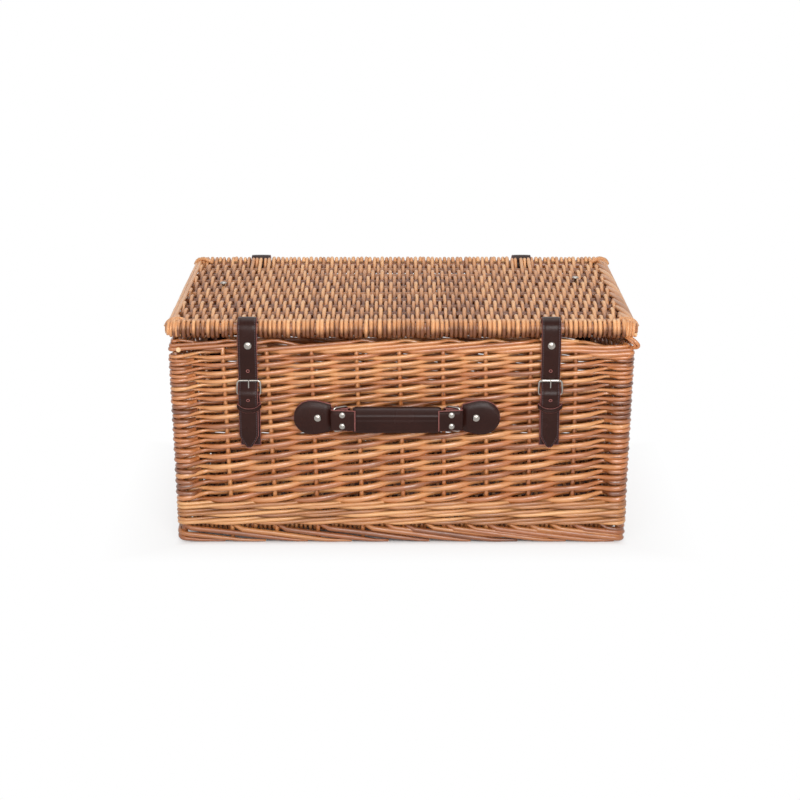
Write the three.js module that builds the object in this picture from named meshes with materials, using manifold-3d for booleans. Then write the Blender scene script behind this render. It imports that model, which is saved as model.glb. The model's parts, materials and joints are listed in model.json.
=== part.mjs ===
// A lidded willow hamper: woven body on a foot border, hinged lid, two buckled leather closing straps,
// a leather carrying handle on wire rings, and two leather lid stays inside.
// Millimetres, +Z up. X runs along the hamper, the front faces -Y, and the origin is at the middle of
// the ground face of the whole object's box.
import * as THREE from 'three';
import { mergeVertices } from 'three/addons/utils/BufferGeometryUtils.js';
import Module from 'manifold-3d';

const wasm = await Module();
wasm.setup();

// ---- Driving dimensions ----
const CLEARANCE = 0.3; // between pieces that touch

// Woven body
const BODY_WIDTH = 504; // outside, at the top border
const BODY_DEPTH = 349;
const BODY_HEIGHT = 233;
const WALL = 14; // a stake with a weaver on each side
const WALL_LEAN = 5; // how far each wall leans out from the ground to the border
const WALL_WAVE = 4.4; // how far the weave falls back between two stakes
const CORNER_RADIUS = 12;
const FOOT_HEIGHT = 26;
const WALE_HEIGHT = 23;
const BORDER_HEIGHT = 14;
const STAKE_DIAMETER = 6;
const STAKES_LONG_SIDE = 9;
const STAKES_SHORT_SIDE = 6;
const STAKE_END_LONG = 64; // from a corner to the first stake of a long wall
const STAKE_END_SHORT = 57; // and of a short wall
const POST_DIAMETER = 8; // upright stick in each corner
const POST_INSET = 8.5; // from each outer face of the wall
const GROUND_SKIN = 4; // rods of the foot border under the ends of the stakes

// Base
const BASE_THICKNESS = 14;
const BASE_STICK_DIAMETER = 9;

// Lid
const LID_OVERHANG = 3; // past each end of the body
const LID_ROD_DIAMETER = 12;
const WRAP = 4; // weavers round the front and back rods
const LID_STICKS = 9;
const LID_STICK_DIAMETER = 6;
const STRAND_WIDTH = 8.8; // a pair of weavers that cross the lid side by side
const STRAND_THICKNESS = 4.3;
const STRAND_GAP = 1.6;
const STRAND_END = 2.5; // where a strand meets the wrapping, from the middle of the rod
const LID_SIDE_WIDTH = 14;
const LID_SIDE_HEIGHT = 14;
const TIE_WRAP = 3.2;
const TIE_WIDTH = 12;

// Leather
const LEATHER = 2.4;
const STRAP_WIDTH = 22;
const STRAP_INSET_LEFT = 86; // from the body's end to the middle of the strap
const STRAP_INSET_RIGHT = 90;
const STRAP_RIVET_GAP = 3.3; // from the loop round the lid's rod to the strap's rivet
const STRAP_LOOP_END = 8; // from that rivet to where the strap starts to hang free
const HINGE_WIDTH = 24;
const HINGE_INSET_LEFT = 78;
const HINGE_INSET_RIGHT = 103;
const HINGE_RIVET_RISE = 1.7; // of the rivet's head above the underside of the border

// Buckles
const BUCKLE_WIRE = 2.5;
const BUCKLE_HEIGHT = 16; // heel bar to top bar
const BUCKLE_DROP = 59; // from the top of the body to the heel bar
const BUCKLE_CORNER = 2.2;
const CORNER_BITE = 0.65; // how far the strap's edge may reach into the frame's corner
const PRONG_DIAMETER = 1.9;
const PRONG_OVERHANG = 1.5;
const PRONG_SLOT_FOOT = 3; // the prong's slot in the strap, above the heel bar
const PRONG_SLOT_TOP = 12;
const STRAP_TIP_DROP = 60; // these four are measured down from the heel bar
const BUCKLE_STRAP_END_DROP = 58;
const BUCKLE_RIVET_DROP = 40;
const KEEPER_DROP = 15;
const FOLD_LENGTH = 9; // short end of the leather that turns round the heel bar
const KEEPER_HEIGHT = 6.5;
const KEEPER_THICKNESS = 1.4;
const KEEPER_SLACK = 1; // beside the strap

// Handle
const HANDLE_X = -5;
const HANDLE_DROP = 85; // from the top of the body
const GRIP_LENGTH = 98;
const GRIP_HEIGHT = 29.5;
const GRIP_THICKNESS = 8.4;
const END_WIDTH = 23; // leather at the handle's ends
const END_GAP = 1.5; // from the end of the grip to the fold of the chape
const GRIP_RIVET_GAP = 0.2; // between the rivets' heads and the fold of the handle's end
const GRIP_RIVET_SPACING = 12.6;
const RING_WIRE = 2.6;
const RING_SPACING = 16; // between the bar in the chape and the bar in the handle
const RING_CORNER = 2;
const RING_SLACK = 3.7; // along the handle, in its folded end
const RING_EASE = 0.5; // across the folded end
const FOLD_EASE = 0.1; // the leather opens this far beyond the start of its eye
const CHAPE_LENGTH = 62.5;
const CHAPE_HEIGHT = 39;
const CHAPE_RIVET_INSET = 26.5; // from the chape's round end

// Rivets
const RIVET_HEAD = 8.4;
const RIVET_DOME = 2.2;
const RIVET_SHANK = 3;
const RIVET_WASHER = 1;
const SMALL_RIVET_HEAD = 7.2;
const FLAT_RIVET_DOME = 1.2;

// Lid stays
const STAY_WIDTH = 12;
const STAY_THICKNESS = 2;
const STAY_INSET_LEFT = 43; // of the lid's rivet, from the body's end
const STAY_INSET_RIGHT = 45;
const STAY_BACK_LEFT = 150.5; // of the lid's rivet, from the back of the body
const STAY_BACK_RIGHT = 120.5;
const STAY_KNEE_GAP = 10; // between the knee and the inside of the side wall
const STAY_RUN = 46; // from the lid's rivet back to the wall's rivet
const STAY_WALL_DROP = 22; // from the top of the body to that rivet
const LID_OPENING = 100; // degrees, where the stays are taut

// ---- Derived places ----
const lidRodRadius = LID_ROD_DIAMETER / 2;
const wrapRadius = lidRodRadius + WRAP;
const bandInner = wrapRadius + CLEARANCE;
const bandOuter = bandInner + LEATHER;
const lidZ = BODY_HEIGHT + CLEARANCE + bandOuter; // the lid rests on the loops of its straps
const lidWidth = BODY_WIDTH + 2 * LID_OVERHANG;
const tabBackY = BODY_DEPTH / 2 + RIVET_WASHER + 3 * CLEARANCE; // a strap's rivet just clears the wall
const rodY = tabBackY + 2 * LEATHER - bandOuter;
const lidStickSpacing = (2 * rodY) / (LID_STICKS + 1);
const stickReach = LID_STICK_DIAMETER / 2 + CLEARANCE;
const strandSlope = (2 * stickReach + STRAND_THICKNESS) / lidStickSpacing;
const strandRise = stickReach * Math.hypot(1, strandSlope) + STRAND_THICKNESS / 2; // of its middle, over a stick
const lidHalf = strandRise + STRAND_THICKNESS / 2; // half the thickness of the lid's weave
const borderZ = BODY_HEIGHT - BORDER_HEIGHT;
const waleZ = FOOT_HEIGHT;
const sideZ = FOOT_HEIGHT + WALE_HEIGHT;
const lean = Math.atan2(WALL_LEAN, BODY_HEIGHT);
const inset = (z) => WALL_LEAN * (1 - z / BODY_HEIGHT);
const frontY = (z) => -(BODY_DEPTH / 2 - inset(z)); // outer face of the front wall at a height
const innerSideX = (z) => (BODY_WIDTH / 2 - WALL) * (1 - inset(z) / (BODY_WIDTH / 2));
const sides = { left: -1, right: 1 };
const fromEnds = (left, right) => ({ left: left - BODY_WIDTH / 2, right: BODY_WIDTH / 2 - right });
const buckleHeelZ = BODY_HEIGHT - BUCKLE_DROP;
const strapTipZ = buckleHeelZ - STRAP_TIP_DROP;
const buckleStrapEndZ = buckleHeelZ - BUCKLE_STRAP_END_DROP;
const buckleRivetZ = buckleHeelZ - BUCKLE_RIVET_DROP;
const keeperZ = buckleHeelZ - KEEPER_DROP;
const handleZ = BODY_HEIGHT - HANDLE_DROP;
const closures = fromEnds(STRAP_INSET_LEFT, STRAP_INSET_RIGHT);
const hinges = fromEnds(HINGE_INSET_LEFT, HINGE_INSET_RIGHT);
const stayX = fromEnds(STAY_INSET_LEFT, STAY_INSET_RIGHT);
const stays = {
  left: { x: stayX.left, y: BODY_DEPTH / 2 - STAY_BACK_LEFT },
  right: { x: stayX.right, y: BODY_DEPTH / 2 - STAY_BACK_RIGHT },
};

const buckleRise = (WALL_LEAN * BUCKLE_HEIGHT) / BODY_HEIGHT; // how far the wall comes out over a buckle's height
const heelOut = 2 * CLEARANCE + LEATHER + BUCKLE_WIRE / 2 + buckleRise; // heel bar, from the wall
const heelBore = BUCKLE_WIRE / 2 + CLEARANCE;
const foldOuter = heelBore + LEATHER;

const chapeBore = RING_WIRE / 2 + CLEARANCE;
const chapeFold = chapeBore + LEATHER;
const chapeOut = CLEARANCE + chapeFold; // ring bar in the chape, from the wall
// The rivets in the handle's ends just pass in front of the fold of the chape, which tilts the rings.
const gripRise = chapeFold + LEATHER + RIVET_WASHER + 2 * CLEARANCE;
const tilt = Math.asin(gripRise / RING_SPACING);
const gripOut = chapeOut + gripRise;
const endX = GRIP_LENGTH / 2 + 1; // where the leather bends at the end of the grip
const chapeBarX = GRIP_LENGTH / 2 + END_GAP + chapeFold;
const handleBarX = chapeBarX + RING_SPACING * Math.cos(tilt);
const eyeHalf = RING_WIRE / 2 + RING_EASE; // half the height of the handle's folded eye
const eyeStart = handleBarX - RING_SLACK;
const endFoldX = handleBarX + RING_WIRE / 2 + CLEARANCE + LEATHER;
const foldStart = eyeStart - RING_WIRE / 2 - CLEARANCE + FOLD_EASE;
const chapeEndX = chapeBarX - chapeFold + CHAPE_LENGTH;
const chapeRivetX = chapeEndX - CHAPE_RIVET_INSET;
const gripRivetX = foldStart - GRIP_RIVET_GAP - SMALL_RIVET_HEAD / 2;

// ---- Materials ----
const finish = (color, roughness, metalness = 0) =>
  new THREE.MeshStandardMaterial({ color, roughness, metalness });
const willow = finish(0xc08a54, 0.55);
const darkWillow = finish(0x9a6234, 0.6);
const paleWillow = finish(0xd9a870, 0.5);
const leather = finish(0x3a2521, 0.35);
const nickel = finish(0xc9c9cc, 0.22, 1);

// ---- Closed solids from outlines ----
const X = new THREE.Vector3(1, 0, 0);
const Y = new THREE.Vector3(0, 1, 0);
const Z = new THREE.Vector3(0, 0, 1);
const ROUND = 24; // sides of a large round
const FINE = 12;
const RIVET_SIDES = 10;
const COARSE = 8;

function arc(x, y, radius, from, to, segments) {
  const points = [];
  for (let i = 0; i <= segments; i++) {
    const angle = from + ((to - from) * i) / segments;
    points.push(new THREE.Vector2(x + radius * Math.cos(angle), y + radius * Math.sin(angle)));
  }
  return points;
}

function circle(x, y, radius, count) {
  return arc(x, y, radius, 0, 2 * Math.PI, count).slice(0, count);
}

function roundedRectangle(width, height, radius, x = 0, y = 0) {
  const points = [];
  const corners = [[1, 1], [-1, 1], [-1, -1], [1, -1]];
  corners.forEach(([sx, sy], i) => {
    const start = (i * Math.PI) / 2;
    const cx = x + sx * (width / 2 - radius);
    const cy = y + sy * (height / 2 - radius);
    points.push(...arc(cx, cy, radius, start, start + Math.PI / 2, 3));
  });
  return points;
}

function rectangle(x0, x1, y0, y1) {
  return [[x0, y0], [x1, y0], [x1, y1], [x0, y1]].map(([x, y]) => new THREE.Vector2(x, y));
}

function extrude(outline, depth, holes = []) {
  const shape = new THREE.Shape(outline);
  shape.holes = holes.map((points) => new THREE.Path(points));
  return new THREE.ExtrudeGeometry(shape, { depth, bevelEnabled: false });
}

// The outline lies in Y and Z, and the solid is centred on x.
function alongX(outline, length, x = 0, holes = []) {
  const basis = new THREE.Matrix4().makeBasis(Y, Z, X);
  return extrude(outline, length, holes).translate(0, 0, -length / 2).applyMatrix4(basis).translate(x, 0, 0);
}

// The outline lies in X and Z, and the solid grows towards the front from y.
function towardsFront(outline, depth, y = 0, holes = []) {
  const basis = new THREE.Matrix4().makeBasis(X, Z, Y.clone().negate());
  return extrude(outline, depth, holes).applyMatrix4(basis).translate(0, y, 0);
}

// The outline lies in X and Y, and the solid grows upwards from z.
function upwards(outline, height, z = 0, holes = []) {
  return extrude(outline, height, holes).translate(0, 0, z);
}

function solidOf(geometry) {
  const bare = geometry.index ? geometry.toNonIndexed() : geometry.clone();
  bare.deleteAttribute('normal');
  bare.deleteAttribute('uv');
  const merged = mergeVertices(bare, 1e-4);
  return new wasm.Manifold(
    new wasm.Mesh({
      numProp: 3,
      vertProperties: new Float32Array(merged.attributes.position.array),
      triVerts: new Uint32Array(merged.index.array),
    }),
  );
}

function geometryOf(solid) {
  const mesh = solid.getMesh();
  const geometry = new THREE.BufferGeometry();
  geometry.setAttribute('position', new THREE.BufferAttribute(mesh.vertProperties, 3));
  geometry.setIndex(new THREE.BufferAttribute(mesh.triVerts, 1));
  return geometry;
}

const join = (...pieces) => geometryOf(pieces.map(solidOf).reduce((sum, next) => sum.add(next)));
const cut = (piece, ...tools) =>
  geometryOf(tools.map(solidOf).reduce((left, tool) => left.subtract(tool), solidOf(piece)));

// A strip of leather through stations of { at, across }, where across runs from middle to edge.
function strip(stations, thickness) {
  const positions = [];
  const index = [];
  stations.forEach(({ at, across }, i) => {
    const before = stations[Math.max(i - 1, 0)].at;
    const after = stations[Math.min(i + 1, stations.length - 1)].at;
    const along = after.clone().sub(before).normalize();
    const normal = along.clone().cross(across).normalize().multiplyScalar(thickness / 2);
    [[1, 1], [-1, 1], [-1, -1], [1, -1]].forEach(([a, n]) =>
      positions.push(...at.clone().addScaledVector(across, a).addScaledVector(normal, n)));
  });
  for (let i = 0; i + 1 < stations.length; i++) {
    for (let j = 0; j < 4; j++) {
      const a = 4 * i + j;
      const b = 4 * i + ((j + 1) % 4);
      index.push(a, b, b + 4, a, b + 4, a + 4);
    }
  }
  const end = 4 * (stations.length - 1);
  index.push(0, 2, 1, 0, 3, 2, end, end + 1, end + 2, end, end + 2, end + 3);
  const geometry = new THREE.BufferGeometry();
  geometry.setAttribute('position', new THREE.Float32BufferAttribute(positions, 3));
  geometry.setIndex(index);
  return geometry;
}

// A closed loop of round wire in the X-Z plane, centred on the origin, with rounded corners.
function wireLoop(width, height, corner, wire) {
  const path = roundedRectangle(width, height, corner);
  const positions = [];
  const index = [];
  path.forEach((point, i) => {
    const before = path[(i + path.length - 1) % path.length];
    const after = path[(i + 1) % path.length];
    const along = after.clone().sub(before).normalize();
    const out = new THREE.Vector3(along.y, 0, -along.x);
    for (let j = 0; j < COARSE; j++) {
      const angle = (2 * Math.PI * j) / COARSE;
      const at = new THREE.Vector3(point.x, 0, point.y);
      at.addScaledVector(out, (Math.cos(angle) * wire) / 2);
      at.y += (Math.sin(angle) * wire) / 2;
      positions.push(...at);
    }
  });
  for (let i = 0; i < path.length; i++) {
    for (let j = 0; j < COARSE; j++) {
      const next = (i + 1) % path.length;
      const a = i * COARSE + j;
      const b = i * COARSE + ((j + 1) % COARSE);
      const c = next * COARSE + ((j + 1) % COARSE);
      const d = next * COARSE + j;
      index.push(a, b, c, a, c, d);
    }
  }
  const geometry = new THREE.BufferGeometry();
  geometry.setAttribute('position', new THREE.Float32BufferAttribute(positions, 3));
  geometry.setIndex(index);
  return geometry;
}

// A rivet whose dome points along +Y of the lathe: head, shank through what it grips, and washer.
function rivet(grip, head = RIVET_HEAD, dome = RIVET_DOME) {
  const r = head / 2;
  const profile = [
    new THREE.Vector2(0, -grip - CLEARANCE - RIVET_WASHER),
    new THREE.Vector2(r * 0.9, -grip - CLEARANCE - RIVET_WASHER),
    new THREE.Vector2(r * 0.9, -grip - CLEARANCE),
    new THREE.Vector2(RIVET_SHANK / 2, -grip - CLEARANCE),
    new THREE.Vector2(RIVET_SHANK / 2, CLEARANCE),
    new THREE.Vector2(r, CLEARANCE),
    new THREE.Vector2(r * 0.8, CLEARANCE + dome * 0.6),
    new THREE.Vector2(0, CLEARANCE + dome),
  ];
  return new THREE.LatheGeometry(profile, RIVET_SIDES);
}

const rivetHole = RIVET_SHANK / 2 + CLEARANCE;

// A round tool for the hole of a rivet, along Y, deep enough for any wall.
function holeAlongY(x, z, y = 0, radius = rivetHole, length = 60) {
  return new THREE.CylinderGeometry(radius, radius, length, FINE).translate(x, y, z);
}

// Every wall leans: the plan at the border is as drawn, and it is smaller towards the ground.
function leanWalls(geometry) {
  const position = geometry.attributes.position;
  for (let i = 0; i < position.count; i++) {
    const away = inset(position.getZ(i));
    position.setX(i, position.getX(i) * (1 - away / (BODY_WIDTH / 2)));
    position.setY(i, position.getY(i) * (1 - away / (BODY_DEPTH / 2)));
  }
  return geometry;
}

// ---- The scene graph ----
const hamper = new THREE.Group();

function add(name, geometry, material, parent = hamper) {
  const mesh = new THREE.Mesh(geometry, material);
  mesh.name = name;
  parent.add(mesh);
  return mesh;
}

// ---- Body ----
// A stake or stick that would meet a rivet or a band stands just beside it, as a maker pushes it over.
function besideAll(position, obstacles, diameter = STAKE_DIAMETER) {
  return obstacles.reduce((x, obstacle) => {
    const away = obstacle.half + diameter / 2 + 2 * CLEARANCE;
    if (Math.abs(x - obstacle.x) >= away) return x;
    return obstacle.x + Math.sign(x - obstacle.x || 1) * away;
  }, position);
}

function evenly(count, spacing) {
  return Array.from({ length: count }, (_, i) => (i - (count - 1) / 2) * spacing);
}

// Places of the stakes along each wall.
function stakeRows() {
  const wallRivets = [
    ...Object.values(closures),
    ...Object.values(sides).map((side) => HANDLE_X + side * chapeRivetX),
  ].map((x) => ({ x, half: rivetHole + 1.5 }));
  const bands = Object.values(hinges).map((x) => ({ x, half: HINGE_WIDTH / 2 + CLEARANCE }));
  const stayRivets = (stay) => [{ x: stay.y + STAY_RUN, half: rivetHole + 1.5 }];
  const long = evenly(STAKES_LONG_SIDE, (BODY_WIDTH - 2 * STAKE_END_LONG) / (STAKES_LONG_SIDE - 1));
  const short = evenly(STAKES_SHORT_SIDE, (BODY_DEPTH - 2 * STAKE_END_SHORT) / (STAKES_SHORT_SIDE - 1));
  return {
    front: long.map((x) => besideAll(x, wallRivets)),
    back: long.map((x) => besideAll(x, bands)),
    left: short.map((y) => besideAll(y, stayRivets(stays.left))),
    right: short.map((y) => besideAll(y, stayRivets(stays.right))),
  };
}

function stakePlaces() {
  const lineX = BODY_WIDTH / 2 - WALL / 2;
  const lineY = BODY_DEPTH / 2 - WALL / 2;
  const rows = stakeRows();
  return [
    ...rows.front.map((x) => [x, -lineY]),
    ...rows.back.map((x) => [x, lineY]),
    ...rows.left.map((y) => [-lineX, y]),
    ...rows.right.map((y) => [lineX, y]),
  ];
}

const postPlaces = {
  front_left: [-1, -1],
  front_right: [1, -1],
  back_left: [-1, 1],
  back_right: [1, 1],
};
const postXY = ([sx, sy]) => [
  sx * (BODY_WIDTH / 2 - POST_INSET),
  sy * (BODY_DEPTH / 2 - POST_INSET),
];

function uprightHoles() {
  const stakes = stakePlaces().map(([x, y]) => circle(x, y, STAKE_DIAMETER / 2 + CLEARANCE, COARSE));
  const posts = Object.values(postPlaces).map((signs) =>
    circle(...postXY(signs), POST_DIAMETER / 2 + CLEARANCE, COARSE));
  return [...stakes, ...posts];
}

// Seen from above, the side weave swells round each stake and falls back between two of them.
function wavedOutline() {
  const halfX = BODY_WIDTH / 2;
  const halfY = BODY_DEPTH / 2;
  const rows = stakeRows();
  const wave = (places, half) =>
    [...places, half].flatMap((place, i) => {
      const before = i ? places[i - 1] : -half;
      const hollow = [(place + before) / 2, WALL_WAVE];
      return place === half ? [hollow] : [hollow, [place, 0]];
    });
  const corner = (sx, sy, quarter) => {
    const start = (quarter * Math.PI) / 2;
    const x = sx * (halfX - CORNER_RADIUS);
    const y = sy * (halfY - CORNER_RADIUS);
    return arc(x, y, CORNER_RADIUS, start, start + Math.PI / 2, 3);
  };
  const at = (x, y) => new THREE.Vector2(x, y);
  return [
    ...corner(1, 1, 0),
    ...wave(rows.back, halfX).reverse().map(([x, fall]) => at(x, halfY - fall)),
    ...corner(-1, 1, 1),
    ...wave(rows.left, halfY).reverse().map(([y, fall]) => at(fall - halfX, y)),
    ...corner(-1, -1, 2),
    ...wave(rows.front, halfX).map(([x, fall]) => at(x, fall - halfY)),
    ...corner(1, -1, 3),
    ...wave(rows.right, halfY).map(([y, fall]) => at(halfX - fall, y)),
  ];
}

function wallRing(z, height, holes, outline = roundedRectangle(BODY_WIDTH, BODY_DEPTH, CORNER_RADIUS)) {
  const inside = rectangle(
    -BODY_WIDTH / 2 + WALL,
    BODY_WIDTH / 2 - WALL,
    -BODY_DEPTH / 2 + WALL,
    BODY_DEPTH / 2 - WALL,
  );
  return upwards(outline, height, z, [inside, ...holes]);
}

function buildBody() {
  const holes = uprightHoles();
  const foot = join(
    wallRing(0, GROUND_SKIN, []),
    wallRing(GROUND_SKIN, FOOT_HEIGHT - GROUND_SKIN - CLEARANCE, holes),
  );
  add('foot_border', leanWalls(foot), darkWillow);

  const wale = wallRing(waleZ, WALE_HEIGHT - CLEARANCE, holes);
  add('bottom_wale', leanWalls(wale), paleWillow);

  const weave = leanWalls(wallRing(sideZ, borderZ - sideZ - CLEARANCE, holes, wavedOutline()));
  add('side_weave', cut(weave, ...wallOpenings()), willow);

  const uprights = stakePlaces().map(([x, y]) =>
    upwards(
      circle(x, y, STAKE_DIAMETER / 2, COARSE),
      borderZ - GROUND_SKIN,
      GROUND_SKIN + CLEARANCE,
    ));
  const border = join(wallRing(borderZ, BORDER_HEIGHT, []), ...uprights);
  add('stakes_and_border', leanWalls(border), willow);

  for (const [corner, signs] of Object.entries(postPlaces)) {
    const post = upwards(
      circle(...postXY(signs), POST_DIAMETER / 2, COARSE),
      borderZ - GROUND_SKIN - 2 * CLEARANCE,
      GROUND_SKIN + CLEARANCE,
    );
    add(`corner_post_${corner}`, leanWalls(post), darkWillow);
  }
}

// Rivet holes through the walls, and the slots that the hinge bands take under the border.
function wallOpenings() {
  const strapRivets = Object.values(closures).map((x) => holeAlongY(x, buckleRivetZ, frontY(buckleRivetZ)));
  const chapeRivets = Object.values(sides).map((side) =>
    holeAlongY(0, 0).rotateX(lean).translate(HANDLE_X + side * chapeRivetX, frontY(handleZ), handleZ));
  const slots = Object.values(hinges).map((x) =>
    new THREE.BoxGeometry(HINGE_WIDTH + 2 * CLEARANCE, 3 * WALL, 2 * (LEATHER + CLEARANCE)).translate(
      x,
      BODY_DEPTH / 2 - WALL / 2,
      borderZ - CLEARANCE,
    ));
  const stayRivets = Object.values(stays).map((stay) =>
    new THREE.CylinderGeometry(rivetHole, rivetHole, 3 * WALL, FINE)
      .rotateZ(Math.PI / 2)
      .translate(Math.sign(stay.x) * innerSideX(stayWallZ), stay.y + STAY_RUN, stayWallZ));
  return [...strapRivets, ...chapeRivets, ...slots, ...stayRivets];
}

function buildBase() {
  const wide = BODY_WIDTH - 2 * WALL - 2 * CLEARANCE;
  const half = BODY_DEPTH / 2 - WALL - CLEARANCE;
  const top = FOOT_HEIGHT - CLEARANCE;
  const stickZ = top - BASE_THICKNESS / 2;
  const stickY = half - BASE_THICKNESS / 2;
  const bore = BASE_STICK_DIAMETER / 2 + CLEARANCE;
  const holes = [-1, 1].map((side) => circle(side * stickY, stickZ, bore, FINE));
  const outline = rectangle(-half, half, top - BASE_THICKNESS, top);
  add('base_weave', leanWalls(alongX(outline, wide, 0, holes)), willow);
  for (const [name, side] of [['front', -1], ['back', 1]]) {
    const stick = circle(side * stickY, stickZ, BASE_STICK_DIAMETER / 2, FINE);
    add(`base_stick_${name}`, leanWalls(alongX(stick, wide)), darkWillow);
  }
}

// ---- Lid ----
const lidInside = lidWidth - 2 * LID_SIDE_WIDTH; // width of the weave between the side borders

// A strand runs from the front rod to the back rod, over one stick and under the next. `first` is 1
// where it starts over the sticks and -1 where it starts under them.
function strandOutline(stickLines, first) {
  const endRise = lidRodRadius + CLEARANCE + WRAP / 2 - STRAND_GAP / 2;
  const last = stickLines.length % 2 ? first : -first;
  const middle = [
    [STRAND_END - rodY, first * endRise],
    ...stickLines.map((y, i) => [y, (i % 2 ? -first : first) * strandRise]),
    [rodY - STRAND_END, last * endRise],
  ];
  const edge = (lift) => middle.map(([y, rise]) => new THREE.Vector2(y, lidZ + rise + lift));
  return [...edge(-STRAND_THICKNESS / 2), ...edge(STRAND_THICKNESS / 2).reverse()];
}

// Behind each leather band the strands are packed together.
function packedStrands(x, end, width) {
  const near = rodY - bandOuter - 2 * CLEARANCE;
  const outline = rectangle(near - STRAND_THICKNESS, near, lidZ - strandRise, lidZ + strandRise);
  const placed = outline.map((p) => new THREE.Vector2(end * p.x, p.y));
  const pitch = STRAND_WIDTH + STRAND_GAP;
  return alongX(end > 0 ? placed : placed.reverse(), width + 2 * pitch, x);
}

// The ring-shaped room that a band of leather needs round a wrapped rod.
function bandRoom(x, y, width) {
  return alongX(
    circle(y, lidZ, bandOuter + CLEARANCE, ROUND),
    width + 2 * CLEARANCE,
    x,
    [circle(y, lidZ, wrapRadius, ROUND)],
  );
}

function buildLid() {
  const stayRivets = Object.values(stays).map(({ y }) => ({ x: y, half: rivetHole }));
  const stickLines = evenly(LID_STICKS, lidStickSpacing).map((y) =>
    besideAll(y, stayRivets, LID_STICK_DIAMETER));
  const weaveWidth = lidInside - 2 * CLEARANCE;
  const count = Math.floor((weaveWidth + STRAND_GAP) / (STRAND_WIDTH + STRAND_GAP));
  const strandPitch = (weaveWidth - STRAND_WIDTH) / (count - 1);
  const strands = evenly(count, strandPitch).map((x, i) =>
    alongX(strandOutline(stickLines, i % 2 ? -1 : 1), STRAND_WIDTH, x));
  const wrappings = [-rodY, rodY].map((y) => alongX(circle(y, lidZ, wrapRadius, ROUND), weaveWidth));
  const packed = [
    ...Object.values(closures).map((x) => packedStrands(x, -1, STRAP_WIDTH)),
    ...Object.values(hinges).map((x) => packedStrands(x, 1, HINGE_WIDTH)),
  ];
  const rodBores = [-rodY, rodY].map((y) =>
    alongX(circle(y, lidZ, lidRodRadius + CLEARANCE, FINE), BODY_WIDTH));
  const behind = rodY - bandOuter - CLEARANCE;
  const below = lidZ - bandOuter - CLEARANCE;
  const hingeRooms = Object.values(hinges).flatMap((x) => [
    bandRoom(x, rodY, HINGE_WIDTH),
    ...[
      rectangle(behind, rodY - wrapRadius, below, lidZ),
      rectangle(behind, rodY - 0.6 * wrapRadius, below, lidZ - 0.8 * wrapRadius),
    ].map((leg) => alongX(leg, HINGE_WIDTH + 2 * CLEARANCE, x)),
  ]);
  const strapRooms = Object.values(closures).map((x) => bandRoom(x, -rodY, STRAP_WIDTH));
  const rivetHoles = Object.values(stays).map(({ x, y }) =>
    new THREE.CylinderGeometry(rivetHole, rivetHole, 4 * lidHalf, FINE)
      .rotateX(Math.PI / 2)
      .translate(x, y, lidZ));
  const weave = join(...wrappings, ...strands, ...packed);
  add('lid_weave', cut(weave, ...rodBores, ...hingeRooms, ...strapRooms, ...rivetHoles), willow);

  for (const [name, y] of [['front', -rodY], ['back', rodY]]) {
    add(`lid_${name}_rod`, alongX(circle(y, lidZ, lidRodRadius, FINE), lidWidth), darkWillow);
  }

  const tieRadius = lidRodRadius + CLEARANCE + TIE_WRAP;
  const sideDepth = 2 * (rodY - tieRadius - CLEARANCE);
  const borders = Object.values(sides).map((side) =>
    towardsFront(
      roundedRectangle(LID_SIDE_WIDTH, LID_SIDE_HEIGHT, 3, (side * (lidWidth - LID_SIDE_WIDTH)) / 2, lidZ),
      sideDepth,
      sideDepth / 2,
    ));
  const sticks = stickLines.map((y) =>
    alongX(circle(y, lidZ, LID_STICK_DIAMETER / 2, COARSE), lidWidth - LID_SIDE_WIDTH));
  add('lid_stick_frame', join(...borders, ...sticks), paleWillow);

  for (const [corner, [sx, sy]] of Object.entries(postPlaces)) {
    const x = sx * (lidWidth / 2 - LID_SIDE_WIDTH + TIE_WIDTH / 2);
    const bore = [circle(sy * rodY, lidZ, lidRodRadius + CLEARANCE, FINE)];
    add(`lid_tie_${corner}`, alongX(circle(sy * rodY, lidZ, tieRadius, FINE), TIE_WIDTH, x, bore), paleWillow);
  }
}

// ---- Hinge bands: leather loops round the lid's back rod and the border of the body ----
function buildHinges() {
  const bottom = borderZ - CLEARANCE;
  const loop = (radius, low) => [
    ...arc(rodY, lidZ, radius, 0, Math.PI, FINE),
    new THREE.Vector2(rodY - radius, low),
    new THREE.Vector2(rodY + radius, low),
  ];
  for (const [side, x] of Object.entries(hinges)) {
    const rivetZ = bottom + HINGE_RIVET_RISE + SMALL_RIVET_HEAD / 2;
    const band = alongX(loop(bandOuter, bottom - LEATHER), HINGE_WIDTH, x, [loop(bandInner, bottom)]);
    add(`hinge_band_${side}`, cut(band, holeAlongY(x, rivetZ, rodY + bandOuter, rivetHole, 10)), leather);
    const pin = add(`hinge_rivet_${side}`, rivet(LEATHER, SMALL_RIVET_HEAD, FLAT_RIVET_DOME), nickel);
    pin.position.set(x, rodY + bandOuter, rivetZ);
  }
}

// ---- Closing straps ----
// A leather ribbon of the strap's width through points of [distance from the wall, height].
function ribbonOnFront(x, points) {
  const line = points.map(([out, z]) => new THREE.Vector2(frontY(z) - out, z));
  const edges = line.map((point, i) => {
    const before = line[Math.max(i - 1, 0)];
    const after = line[Math.min(i + 1, line.length - 1)];
    const along = after.clone().sub(before).normalize();
    return new THREE.Vector2(along.y, -along.x).multiplyScalar(LEATHER / 2);
  });
  const outline = [
    ...line.map((point, i) => point.clone().add(edges[i])),
    ...line.map((point, i) => point.clone().sub(edges[i])).reverse(),
  ];
  return alongX(outline, STRAP_WIDTH, x);
}

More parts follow.
